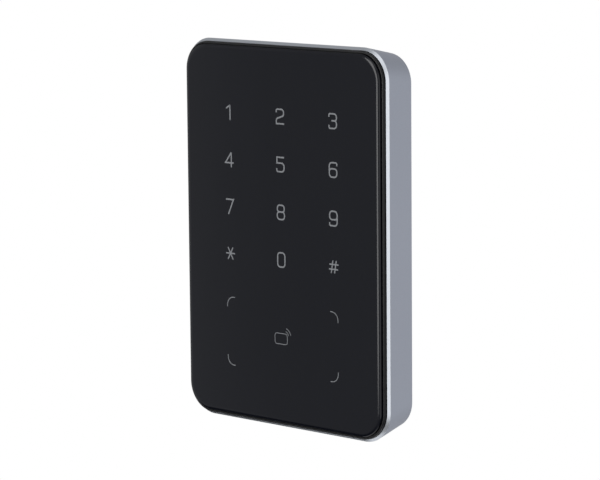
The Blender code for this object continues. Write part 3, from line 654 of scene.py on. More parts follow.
def filleted(corners: Sequence[Corner], closed: bool, steps: int = 5) -> tuple[list[Vector], list[int]]:
    """Round the corners of a profile with circular arcs.

    Args:
        corners: The profile's corners in order.
        closed: Whether the last corner joins the first.
        steps: Spans in each arc.

    Returns:
        The points, and for each the index of the profile's side that starts there.
    """
    points: list[Vector] = []
    sides: list[int] = []
    count = len(corners)
    for index, corner in enumerate(corners):
        here = Vector(corner.point)
        inside = closed or 0 < index < count - 1
        if corner.fillet <= 0.0 or not inside:
            points.append(here)
            sides.append(index)
            continue
        before = Vector(corners[index - 1].point) - here
        after = Vector(corners[(index + 1) % count].point) - here
        length_before = Vector(before[:2]).length
        length_after = Vector(after[:2]).length
        cosine = Vector(before[:2]).dot(Vector(after[:2])) / (length_before * length_after)
        half = math.acos(max(-1.0, min(1.0, cosine))) / 2
        reach = min(corner.fillet / math.tan(half), LONGEST_FILLET * min(length_before, length_after))
        start = here + before * (reach / length_before)
        end = here + after * (reach / length_after)
        weight = math.sin(half)
        for step in range(steps + 1):
            t = step / steps
            blend = (1 - t) ** 2, 2 * weight * t * (1 - t), t ** 2
            points.append((start * blend[0] + here * blend[1] + end * blend[2]) / sum(blend))
            sides.append(index if 2 * step >= steps else index - 1)
    return points, [side % count for side in sides]


@dataclass(frozen=True)
class RoundedRect:
    """Rounded rectangle in the plane of the glass."""

    half_width: float
    half_height: float
    radius: float
    x: float = 0.0
    z: float = 0.0

    def points(self, steps: int = 18) -> list[Vector]:
        """Go round the outline.

        Args:
            steps: Spans in each corner.

        Returns:
            The points, as x and z.
        """
        result = []
        for corner, (side, end) in enumerate(((1, 1), (-1, 1), (-1, -1), (1, -1))):
            middle = Vector((self.x + side * (self.half_width - self.radius), 0))
            middle.y = self.z + end * (self.half_height - self.radius)
            for step in range(steps + 1):
                angle = math.pi / 2 * (corner + step / steps)
                result.append(middle + self.radius * Vector((math.cos(angle), math.sin(angle))))
        return result


def circle(radius: float, steps: int) -> list[Vector]:
    """Points round a circle, starting at its right."""
    angles = [FULL_TURN * step / steps for step in range(steps)]
    return [Vector((radius * math.cos(angle), radius * math.sin(angle))) for angle in angles]


def add_object(name: str, mesh: bmesh.types.BMesh, *materials: bpy.types.Material) -> bpy.types.Object:
    """Turn a bmesh into a smoothly shaded object.

    Args:
        name: Name of the piece.
        mesh: Its mesh, which is freed.
        materials: Its materials, by face index.

    Returns:
        The new object.
    """
    bmesh.ops.recalc_face_normals(mesh, faces=mesh.faces)
    data = bpy.data.meshes.new(name)
    mesh.to_mesh(data)
    mesh.free()
    for material in materials:
        data.materials.append(material)
    data.shade_smooth()
    data.set_sharp_from_angle(angle=SHARP_EDGE)
    piece = bpy.data.objects.new(name, data)
    bpy.context.scene.collection.objects.link(piece)
    return piece


def skin(
    name: str,
    loops: Sequence[Sequence[Vector]],
    closing: Closing,
    materials: Sequence[bpy.types.Material],
    bands: Mapping[int, int] | None = None,
) -> bpy.types.Object:
    """Join loops of points into a closed body.

    Args:
        name: Name of the piece.
        loops: Loops with equal numbers of points.
        closing: Whether the loops form a ring or are capped at both ends.
        materials: Materials of the piece.
        bands: Material index of the faces after a loop, where it isn't 0.

    Returns:
        The new object.
    """
    mesh = bmesh.new()
    rings = [[mesh.verts.new(point) for point in loop] for loop in loops]
    count = len(rings[0])
    last = len(rings) if closing is Closing.RING else len(rings) - 1
    for index in range(last):
        first, second = rings[index], rings[(index + 1) % len(rings)]
        for here in range(count):
            there = (here + 1) % count
            face = mesh.faces.new((first[here], first[there], second[there], second[here]))
            face.material_index = (bands or {}).get(index, 0)
    if closing is Closing.SOLID:
        mesh.faces.new(rings[0])
        mesh.faces.new(rings[-1])
    return add_object(name, mesh, *materials)


def turned(
    name: str,
    profile: Sequence[Corner],
    centre: Vector,
    closing: Closing,
    material: bpy.types.Material,
    steps: int = 48,
) -> bpy.types.Object:
    """Turn a profile of radius and depth about a line through a point, square to the wall.

    Args:
        name: Name of the piece.
        profile: Corners given as radius and depth along the line.
        centre: Point on the line where the depth is zero.
        closing: Ring for a piece with a hole, else a solid.
        material: Material of the piece.
        steps: Spans round the line.

    Returns:
        The new object.
    """
    points, _ = filleted(profile, closing is Closing.RING, 4)
    loops = []
    for radius, depth in points:
        loops.append([centre + Vector((p.x, depth, p.y)) for p in circle(radius, steps)])
    return skin(name, loops, closing, [material])


def rod(
    name: str, radius: float, start: Vector, end: Vector, end_radius: float | None = None
) -> bpy.types.Object:
    """Make a round bar, or a cone, between two points.

    Args:
        name: Name of the bar.
        radius: Radius at the start.
        start: Middle of the first end.
        end: Middle of the last end.
        end_radius: Radius at the end, where it differs.

    Returns:
        The bar, to be joined to another piece or cut from it.
    """
    mesh = bmesh.new()
    along = end - start
    tip = radius if end_radius is None else end_radius
    size = {"segments": 48, "radius1": radius, "radius2": tip, "depth": along.length}
    turn = along.to_track_quat("Z", "Y").to_matrix().to_4x4()
    middle = Matrix.Translation((start + end) / 2)
    bmesh.ops.create_cone(mesh, cap_ends=True, matrix=middle @ turn, **size)
    return add_object(name, mesh)


def bar(name: str, low: Vector, high: Vector) -> bpy.types.Object:
    """Make a block between two corners.

    Args:
        name: Name of the block.
        low: Its lowest corner.
        high: Its highest corner.

    Returns:
        The block, to be cut from another piece.
    """
    mesh = bmesh.new()
    size = high - low
    placed = Matrix.Translation((low + high) / 2) @ Matrix.Diagonal((*size, 1.0))
    bmesh.ops.create_cube(mesh, size=1.0, matrix=placed)
    return add_object(name, mesh)


def ribbon(points: Sequence[Vector], width: float, closed: bool) -> tuple[list[Vector], list[Vector]]:
    """Both edges of a stroke of even width along a path.

    Args:
        points: Middle line of the stroke.
        width: Width of the stroke.
        closed: Whether the path joins its own start.

    Returns:
        The points on the left edge, and those on the right edge.
    """
    left, right = [], []
    count = len(points)
    for index, point in enumerate(points):
        before = points[index - 1] if closed or index else None
        after = points[(index + 1) % count] if closed or index < count - 1 else None
        incoming = (point - before).normalized() if before is not None else None
        outgoing = (after - point).normalized() if after is not None else None
        incoming = outgoing if incoming is None else incoming
        outgoing = incoming if outgoing is None else outgoing
        normal = (Vector((-incoming.y, incoming.x)) + Vector((-outgoing.y, outgoing.x))).normalized()
        stretch = max(SHARPEST_MITRE, normal.dot(Vector((-incoming.y, incoming.x))))
        offset = normal * (width / 2 / stretch)
        left.append(point + offset)
        right.append(point - offset)
    return left, right


def extruded_ribbon(
    name: str,
    points: Sequence[Vector],
    width: float,
    closed: bool,
    lift: "Lift",
    material: bpy.types.Material,
) -> bpy.types.Object:
    """Solid stroke: a ribbon given a thickness.

    Args:
        name: Name of the piece.
        points: Middle line of the stroke.
        width: Width of the stroke in its plane.
        closed: Whether the path joins its own start.
        lift: Turns a point of the plane into a point in space, for each of the two faces.
        material: Material of the stroke.

    Returns:
        The new object.
    """
    mesh = bmesh.new()
    left, right = ribbon(points, width, closed)
    sections = []
    for one, other in zip(left, right):
        corners = (lift.near(one), lift.near(other), lift.far(other), lift.far(one))
        sections.append([mesh.verts.new(corner) for corner in corners])
    spans = len(sections) if closed else len(sections) - 1
    for index in range(spans):
        first, second = sections[index], sections[(index + 1) % len(sections)]
        for here in range(4):
            there = (here + 1) % 4
            mesh.faces.new((first[here], first[there], second[there], second[here]))
    if not closed:
        mesh.faces.new(sections[0])
        mesh.faces.new(sections[-1])
    return add_object(name, mesh, material)


@dataclass(frozen=True)
class Lift:
    """Places points of a flat drawing in space, as the two faces of a thin solid."""

    origin: Vector
    across: Vector
    upward: Vector
    thickness: Vector

    def near(self, point: Vector) -> Vector:
        """Point on the first face."""
        return self.origin + self.across * point.x + self.upward * point.y

    def far(self, point: Vector) -> Vector:
        """Point on the second face."""
        return self.near(point) + self.thickness


def evaluate(piece: bpy.types.Object) -> bpy.types.Object:
    """Replace a piece's mesh by the one that its modifiers give.

    Args:
        piece: The piece.

    Returns:
        The same piece, with no modifiers left.
    """
    graph = bpy.context.evaluated_depsgraph_get()
    old = piece.data
    piece.data = bpy.data.meshes.new_from_object(piece.evaluated_get(graph))
    piece.data.name = old.name
    piece.modifiers.clear()
    bpy.data.meshes.remove(old)
    return piece


def combine(piece: bpy.types.Object, others: Sequence[bpy.types.Object], operation: str) -> bpy.types.Object:
    """Cut helper shapes from a piece or join them to it, and remove the helpers.

    Args:
        piece: The piece to change.
        others: The helper shapes.
        operation: DIFFERENCE or UNION.

    Returns:
        The piece.
    """
    for other in others:
        modifier = piece.modifiers.new("shape", "BOOLEAN")
        modifier.operation = operation
        modifier.solver = "EXACT"
        modifier.object = other
    evaluate(piece)
    for other in others:
        bpy.data.objects.remove(other, do_unlink=True)
    piece.data.shade_smooth()
    piece.data.set_sharp_from_angle(angle=SHARP_EDGE)
    return piece


def shade(piece: bpy.types.Object) -> None:
    """Weigh a piece's normals by face area, so that flats stay flat beside their rounded edges."""
    modifier = piece.modifiers.new("even_shading", "WEIGHTED_NORMAL")
    modifier.keep_sharp = True


def mount(piece: bpy.types.Object, body: Body, slot: str, *stands_for: str) -> bpy.types.Object:
    """Fix a piece to a body, and hide the CAD nodes that it stands for.

    Args:
        piece: The piece.
        body: The body that it moves with.
        slot: Not used.
        stands_for: The CAD nodes that it replaces.

    Returns:
        The piece.
    """
    shade(piece)
    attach(piece, body.value)
    if stands_for:
        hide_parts(*stands_for)
    LOG.info("%s: %d faces on %s", piece.name, len(piece.data.polygons), body.value)
    return piece


def node_centre(node: str) -> Vector:
    """Middle of a CAD node's box."""
    low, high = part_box(node)
    return (low + high) / 2


# ---------------------------------------------------------------------------------------------
# Case
# ---------------------------------------------------------------------------------------------


@dataclass(frozen=True)
class Envelope:
    """Widest outline of the reader, the corner radius that goes with it, and the depth scale."""

    half_width: float
    half_height: float
    front: float
    corner_radius: float = 0.0106

    @classmethod
    def of_model(cls) -> "Envelope":
        """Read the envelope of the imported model.

        Returns:
            The envelope.
        """
        _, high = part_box("metal_frame")
        low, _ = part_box("touch_glass")
        return cls(high.x, high.z, low.y)

    def rect(self, inset: float, end_inset: float = 0.0, radius: float = 0.0) -> RoundedRect:
        """Outline inset from the widest one, and by end_inset more at top and bottom."""
        corner = radius or self.corner_radius - inset
        return RoundedRect(self.half_width - inset, self.half_height - inset - end_inset, corner)

    def loop(self, section: Vector) -> list[Vector]:
        """Go round the reader at one section.

        Args:
            section: Inset, depth, corner radius and end inset.

        Returns:
            The points.
        """
        inset, depth, radius, end_inset = section
        outline = self.rect(inset, end_inset, radius)
        return [Vector((point.x, self.front + depth, point.y)) for point in outline.points()]

    def section(
        self, inset: float, depth: float, fillet: float = 0.0, end_inset: float = 0.0, radius: float = 0.0
    ) -> Corner:
        """Corner of a profile that is swept round the outline."""
        return Corner((inset, depth, radius or self.corner_radius - inset, end_inset), fillet)


@dataclass
class TouchGlass:
    """Glass front with a rounded edge, a little behind the model's so that the print fits in."""

    envelope: Envelope
    palette: Palette
    inset: float = 0.0019
    thickness: float = 0.0011
    edge_run: float = 0.0014
    edge_drop: float = 0.0006
    edge_steps: int = 10
    print_room: float = 0.000024
    bend_start: float = 0.00004

    def build(self) -> bpy.types.Object:
        """Build the glass.

        Returns:
            The glass.
        """
        at = self.envelope.section
        front = self.print_room
        start = self.inset + self.edge_run
        sections = [at(start + self.edge_run, front), at(start + self.bend_start, front)]
        for step in range(self.edge_steps + 1):
            angle = math.pi / 2 * step / self.edge_steps
            inset = start - self.edge_run * math.sin(angle)
            sections.append(at(inset, front + self.edge_drop * (1 - math.cos(angle))))
        sections.append(at(self.inset, self.thickness))
        loops = [self.envelope.loop(Vector(section.point)) for section in sections]
        return skin("glass_panel", loops, Closing.SOLID, [self.palette.glass])

    def dress(self) -> None:
        """Place the glass on the case."""
        mount(self.build(), Body.CASE, "black_glass", "touch_glass")


@dataclass(frozen=True)
class Stroke:
    """One stroke of a symbol: its middle line, and whether it closes on itself."""

    corners: tuple[Corner, ...]
    closed: bool = False

    def points(self) -> list[Vector]:
        """Points of the middle line."""
        points, _ = filleted(self.corners, self.closed, 8)
        return points


def stroke(*corners: tuple[float, ...], closed: bool = False) -> Stroke:
    """Draw a stroke through corners.

    Args:
        corners: Each corner's x, z and optional fillet, in millimetres.
        closed: Whether the stroke joins its own start.

    Returns:
        The stroke, in metres.
    """
    made = []
    for x, z, *fillet in corners:
        made.append(Corner((x * MM, z * MM), (fillet[0] if fillet else 0.0) * MM))
    return Stroke(tuple(made), closed)


def arc(x: float, z: float, radius: float, first: float, last: float) -> Stroke:
    """Draw a stroke along an arc.

    Args:
        x: Centre of the arc, in millimetres.
        z: Centre of the arc, in millimetres.
        radius: Its radius, in millimetres.
        first: Angle where it starts, in degrees.
        last: Angle where it ends, in degrees.

    Returns:
        The stroke, in metres.
    """
    steps = 14
    corners = []
    for step in range(steps + 1):
        angle = math.radians(first + (last - first) * step / steps)
        place = ((x + radius * math.cos(angle)) * MM, (z + radius * math.sin(angle)) * MM)
        corners.append(Corner(place))
    return Stroke(tuple(corners))


@dataclass
class Legends:
    """Figures of the twelve keys, the card symbol and the corner marks, printed on the glass."""

    envelope: Envelope
    palette: Palette
    half_width: float = 1.62
    half_height: float = 2.33
    bend: float = 1.15
    key_stroke: float = 0.50 * MM
    sign_stroke: float = 0.44 * MM
    mark_stroke: float = 0.26 * MM
    card_stroke: float = 0.21 * MM
    wave_stroke: float = 0.20 * MM
    mark_reach: float = 1.68
    mark_radius: float = 2.75
    mark_drop: float = 0.30 * MM
    card_rise: float = 0.25 * MM
    card_low: tuple[float, float] = (-3.15, -2.3)
    card_high: tuple[float, float] = (2.35, 1.2)
    card_bend: float = 0.85
    wave_centre: tuple[float, float] = (1.2, 0.3)
    wave_radii: tuple[float, ...] = (1.80, 2.80)
    wave_span: tuple[float, float] = (14.0, 76.0)
    thickness: float = 0.000020
    gap: float = 0.000002

    def figures(self) -> dict[str, list[Stroke]]:
        """Draw the twelve figures.

        Returns:
            The strokes of each, about the middle of its key.
        """
        a, b, r = self.half_width, self.half_height, self.bend
        hook = b - 1.05
        end = b + self.key_stroke / MM / 2
        return {
            "1": [stroke((-1.25, 1.20), (0.50, b, 0.1), (0.50, -end))],
            "2": [
                stroke((-a, hook), (-a, b, r), (a, b, r), (a, 0.30, 0.9), (-a, -0.75, 0.9), (-a, -b),
                       (a + 0.2, -b)),
            ],
            "3": [
                stroke((-a, hook), (-a, b, r), (a, b, r), (a, 0.10, 0.9), (-0.55, 0.10)),
                stroke((-0.55, 0.10), (a, 0.10, 0.95), (a, -b, r), (-a, -b, r), (-a, -hook)),
            ],
            "4": [
                stroke((0.85, -end), (0.85, b)),
                stroke((0.85, b), (-0.2 - a, -1.10), (a + 0.30, -1.10)),
            ],
            "5": [
                stroke((a, b), (0.10 - a, b), (0.10 - a, 0.45), (a, 0.45, 1.1), (a, -b, r),
                       (-a, -b, r), (-a, -hook)),
            ],
            "6": [
                stroke((a, 0.35, 1.0), (-a, 0.35, 1.0), (-a, -b, r), (a, -b, r), closed=True),
                stroke((a, hook), (a, b, r), (-a, b, r), (-a, -0.95)),
            ],
            "7": [stroke((-a - 0.2, b), (a, b), (-0.75, -end))],
            "8": [
                stroke((a, 0.12, 0.95), (-a, 0.12, 0.95), (-a, -b, 1.1), (a, -b, 1.1), closed=True),
                stroke((a - 0.1, b, 1.0), (0.1 - a, b, 1.0), (0.1 - a, 0.12, 0.9), (a - 0.1, 0.12, 0.9),
                       closed=True),
            ],
            "9": [
                stroke((a, b, r), (-a, b, r), (-a, -0.35, 1.0), (a, -0.35, 1.0), closed=True),
                stroke((a, 0.95), (a, -b, r), (-a, -b, r), (-a, -hook)),
            ],
            "star": [
                stroke((-2.05, 0.0), (2.05, 0.0)),
                stroke((-1.15, -2.0), (1.15, 2.0)),
                stroke((-1.15, 2.0), (1.15, -2.0)),
            ],
            "0": [stroke((a, b, r), (-a, b, r), (-a, -b, r), (a, -b, r), closed=True)],
            "hash": [
                stroke((-1.10, -2.05), (-0.35, 2.05)),
                stroke((0.35, -2.05), (1.10, 2.05)),
                stroke((-1.90, 0.78), (2.05, 0.78)),
                stroke((-2.05, -0.78), (1.90, -0.78)),
            ],
        }

    def card(self) -> Stroke:
        """Outline of the card, with rounded corners."""
        (left, low), (right, high), bend = self.card_low, self.card_high, self.card_bend
        corners = ((right, high, bend), (left, high, bend), (left, low, bend), (right, low, bend))
        return stroke(*corners, closed=True)

    def waves(self) -> list[Stroke]:
        """Two waves that leave the card at its upper right corner."""
        return [arc(*self.wave_centre, radius, *self.wave_span) for radius in self.wave_radii]

    def corner_mark(self, across: float, upward: float) -> Stroke:
        """Quarter turn with straight ends, round one corner of the card zone.

        Args:
            across: Sign of the way into the zone along x.
            upward: Sign of the way into the zone along z.

        Returns:
            The stroke, about the middle of its ends.
        """
        middle = self.mark_radius - self.mark_reach
        toward = math.degrees(math.atan2(-upward, -across))
        bend = arc(across * middle, upward * middle, self.mark_radius, toward - 45, toward + 45)
        reach = self.mark_reach * MM
        ends = [Corner((-across * reach, upward * reach)), Corner((across * reach, -upward * reach))]
        if across * upward < 0:
            ends.reverse()
        return Stroke((ends[0], *bend.corners, ends[1]))

    def build(self, name: str, strokes: Sequence[Stroke], width: float, place: Vector) -> bpy.types.Object:
        """Make one printed symbol.

        Args:
            name: Name of the piece.
            strokes: Its strokes, in the plane of the glass.
            width: Width of every stroke.
            place: Middle of the symbol.

        Returns:
            The symbol.
        """
        lift = Lift(place, Vector((1, 0, 0)), Vector((0, 0, 1)), Vector((0, self.thickness, 0)))
        made = []
        for index, line in enumerate(strokes):
            part_name = name if index == 0 else f"{name}_{index}"
            made.append(extruded_ribbon(part_name, line.points(), width, line.closed, lift, self.palette.ink))
        return combine(made[0], made[1:], "UNION") if len(made) > 1 else made[0]

    def dress(self) -> None:
        """Print every symbol in front of the light behind it."""
        front = self.envelope.front + self.gap
        for name, strokes in self.figures().items():
            light = node_centre(f"key_light_{name}")
            place = Vector((light.x, front, light.z))
            width = self.sign_stroke if name in ("star", "hash") else self.key_stroke
            mount(self.build(f"print_{name}", strokes, width, place), Body.CASE, "clear_film")
        light = node_centre("card_light_middle")
        place = Vector((light.x, front, light.z + self.card_rise))
        mount(self.build("print_card", [self.card()], self.card_stroke, place), Body.CASE, "clear_film")
        for index, wave in enumerate(self.waves(), 1):
            mount(self.build(f"print_wave_{index}", [wave], self.wave_stroke, place), Body.CASE, "clear_film")
        for side, across in (("left", 1), ("right", -1)):
            for end, upward in (("upper", -1), ("lower", 1)):
                light = node_centre(f"card_light_{end}_{side}")
                place = Vector((light.x, front, light.z - self.mark_drop))
                lines = [self.corner_mark(across, upward)]
                mark = self.build(f"print_corner_{end}_{side}", lines, self.mark_stroke, place)
                mount(mark, Body.CASE, "clear_film")


@dataclass
class FrontCover:
    """Moulded cover: a rounded rim round the glass, and the tray with its screw bosses behind."""

    envelope: Envelope
    palette: Palette
    rim_inset: float = 0.0016
    rim_top: float = 0.00095
    edge_inset: float = 0.0010
    edge_depth: float = 0.00175
    cover_inset: float = 0.00126
    tuck_depth: float = 0.00201
    ledge_front: float = 0.0020
    flange_back: float = 0.0036
    skirt_inset: float = 0.0045
    cavity_inset: float = 0.0059
    end_channel: float = 0.0030
    skirt_back: float = 0.0123
    window_inset: float = 0.0090
    window_end: float = 0.0015
    window_radius: float = 0.0090
    boss_radius: float = 0.0024
    boss_back: float = 0.0109
    guide_back: float = 0.0050
    case_hole: float = 0.0014
    case_hole_depth: float = 0.0060
    guide_hole: float = 0.0011
    guide_hole_depth: float = 0.0026
    boss_root: float = 0.0004
    overrun: float = 0.001
    edge: float = 0.0002
    sharp: float = 0.00005
    rim_edge: float = 0.0003
    round_share: float = 0.98

    def shell(self) -> bpy.types.Object:
        """Build the ring of the rim, the ledge and the skirt.

        Returns:
            The cover without its bosses.
        """
        at = self.envelope.section
        end = self.end_channel
        round_top = (self.rim_inset - self.edge_inset) * self.round_share
        window = (self.window_end, self.window_radius)
        corners = [
            at(self.rim_inset, self.rim_top, self.sharp),
            at(self.edge_inset, self.rim_top, round_top),
            at(self.edge_inset, self.edge_depth, self.rim_edge),
            at(self.cover_inset, self.tuck_depth, self.sharp),
            at(self.cover_inset, self.flange_back),
            at(self.skirt_inset, self.flange_back, 0.0, end),
            at(self.skirt_inset, self.skirt_back, self.edge, end),
            at(self.cavity_inset, self.skirt_back, self.edge, end),
            at(self.cavity_inset, self.flange_back, self.edge, end),
            at(self.window_inset, self.flange_back, self.edge, *window),
            at(self.window_inset, self.ledge_front, self.edge, *window),
            at(self.rim_inset, self.ledge_front),
        ]
        points, _ = filleted(corners, True, 6)
        loops = [self.envelope.loop(point) for point in points]
        return skin("cover_shell", loops, Closing.RING, [self.palette.rim])

    def bosses(self, cover: bpy.types.Object) -> None:
        """Add the screw bosses and drill them.

        Args:
            cover: The cover.
        """
        front = self.envelope.front
        kinds = (
            ("case", self.boss_back, self.case_hole, self.case_hole_depth),
            ("keypad", self.guide_back, self.guide_hole, self.guide_hole_depth),
        )
        added, drilled = [], []
        for kind, back, hole, hole_depth in kinds:
            for end in ("upper", "lower"):
                for side in ("left", "right"):
                    screw = node_centre(f"{kind}_screw_{end}_{side}")
                    root = Vector((screw.x, front + self.flange_back - self.boss_root, screw.z))
                    tip = Vector((screw.x, front + back, screw.z))
                    added.append(rod(f"boss_{kind}_{end}_{side}", self.boss_radius, root, tip))
                    bottom = tip - Vector((0, hole_depth, 0))
                    past = tip + Vector((0, self.overrun, 0))
                    drilled.append(rod(f"hole_{kind}_{end}_{side}", hole, bottom, past))
        combine(cover, added, "UNION")
        combine(cover, drilled, "DIFFERENCE")

    def dress(self) -> None:
        """Place the cover on the case."""
        cover = self.shell()
        self.bosses(cover)
        mount(cover, Body.CASE, "gloss_black_plastic", "front_cover")


@dataclass
class MetalFrame:
    """Tapered frame with a satin skin and a bright cut chamfer."""

    envelope: Envelope
    palette: Palette
    lip_inset: float = 0.00096
    lip_depth: float = 0.00207
    chamfer_depth: float = 0.0007
    back_inset: float = 0.00265
    back_radius: float = 0.0093
    back_depth: float = 0.0163
    bore_inset: float = 0.0042
    land_depth: float = 0.0039
    screw_hole: float = 0.0018
    screw_recess: float = 0.0028
    screw_seat: float = -0.0599
    pocket_half_width: float = 0.0053
    pocket_top: float = 0.0602
    pocket_front: float = 0.0101
    pocket_back: float = 0.0119
    hook_half_spacing: float = 0.0200
    mouth_depth: float = 0.00055
    mouth_flare: float = 0.0016
    mouth_gap: float = 0.00005
    hole_overlap: float = 0.0004
    overrun: float = 0.001
    edge: float = 0.0002
    lip_edge: float = 0.00004
    chamfer_edge: float = 0.00008
    back_edge: float = 0.00035

    def ring(self) -> bpy.types.Object:
        """Build the frame before its holes are cut.

        Returns:
            The frame.
        """
        at = self.envelope.section
        corners = [
            at(self.lip_inset, self.lip_depth, self.lip_edge),
            at(0.0, self.lip_depth + self.chamfer_depth, self.chamfer_edge),
            at(self.back_inset, self.back_depth, self.back_edge, 0.0, self.back_radius),
            at(self.bore_inset, self.back_depth, self.edge),
            at(self.bore_inset, self.land_depth, self.edge),
            at(self.lip_inset, self.land_depth),
        ]
        points, sides = filleted(corners, True, 5)
        loops = [self.envelope.loop(point) for point in points]
        bands = {index: 1 for index, side in enumerate(sides) if side == 0}
        materials = [self.palette.metal, self.palette.chamfer]
        return skin("frame_shell", loops, Closing.RING, materials, bands)

    def pocket(self, name: str, x: float) -> bpy.types.Object:
        """Shape the pocket that a hook of the bracket reaches into.

        Args:
            name: Name of the cutter.
            x: Middle of the hook.

        Returns:
            The cutter.
        """
        front = self.envelope.front
        inside = self.envelope.half_height - self.bore_inset - self.overrun
        low = Vector((x - self.pocket_half_width, front + self.pocket_front, inside))
        high = Vector((x + self.pocket_half_width, front + self.pocket_back, self.pocket_top))
        return bar(name, low, high)

    def dress(self) -> None:
        """Cut the screw's recess and the hooks' pockets, and place the frame on the case."""
        frame_piece = self.ring()
        screw = node_centre("security_screw")
        lowest = -self.envelope.half_height
        seat = Vector((screw.x, screw.y, self.screw_seat))
        below = Vector((screw.x, screw.y, lowest - self.overrun))
        above = Vector((screw.x, screw.y, lowest + self.bore_inset + self.overrun))
        mouth = Vector((screw.x, screw.y, lowest + self.mouth_depth))
        wide, narrow = self.screw_recess + self.mouth_flare, self.screw_recess - self.mouth_gap
        cutters = [
            rod("recess_cutter", self.screw_recess, below, seat),
            rod("hole_cutter", self.screw_hole, seat - Vector((0, 0, self.hole_overlap)), above),
            rod("mouth_cutter", wide, below, mouth, narrow),
            self.pocket("pocket_left", -self.hook_half_spacing),
            self.pocket("pocket_right", self.hook_half_spacing),
        ]
        combine(frame_piece, cutters, "DIFFERENCE")
        mount(frame_piece, Body.CASE, "satin_aluminium", "metal_frame")


@dataclass
class CableGrommet:
    """Rubber grommet with two flanges round the cable exit."""

    palette: Palette
    radius: float = 0.0074
    neck: float = 0.0057
    bore: float = 0.0034
    flange: float = 0.0007
    mouth_width: float = 0.0012
    mouth_depth: float = 0.0008
    rim_edge: float = 0.0003
    flange_edge: float = 0.0002
    neck_edge: float = 0.0001
    steps: int = 56

    def dress(self) -> None:
        """Place the grommet in the rear plate."""
        low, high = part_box("cable_grommet")
        centre = Vector(((low.x + high.x) / 2, low.y, (low.z + high.z) / 2))
        last = high.y - low.y
        profile = [
            Corner((self.bore, 0.0), self.rim_edge),
            Corner((self.radius, 0.0), self.rim_edge),
            Corner((self.radius, self.flange), self.flange_edge),
            Corner((self.neck, self.flange), self.neck_edge),
            Corner((self.neck, last - self.flange), self.neck_edge),
            Corner((self.radius, last - self.flange), self.flange_edge),
            Corner((self.radius, last), self.rim_edge),
            Corner((self.bore + self.mouth_width, last), self.flange_edge),
            Corner((self.bore, last - self.mouth_depth), self.rim_edge),
        ]
        grommet = turned("grommet", profile, centre, Closing.RING, self.palette.rubber, self.steps)
        mount(grommet, Body.CASE, "black_rubber", "cable_grommet")


# ---------------------------------------------------------------------------------------------
# Screws and tamper switch
# ---------------------------------------------------------------------------------------------


@dataclass(frozen=True)
class ScrewSize:
    """Sizes of one kind of screw."""

    head_radius: float
    head: float
    shank_radius: float
    pitch: float
    socket: float


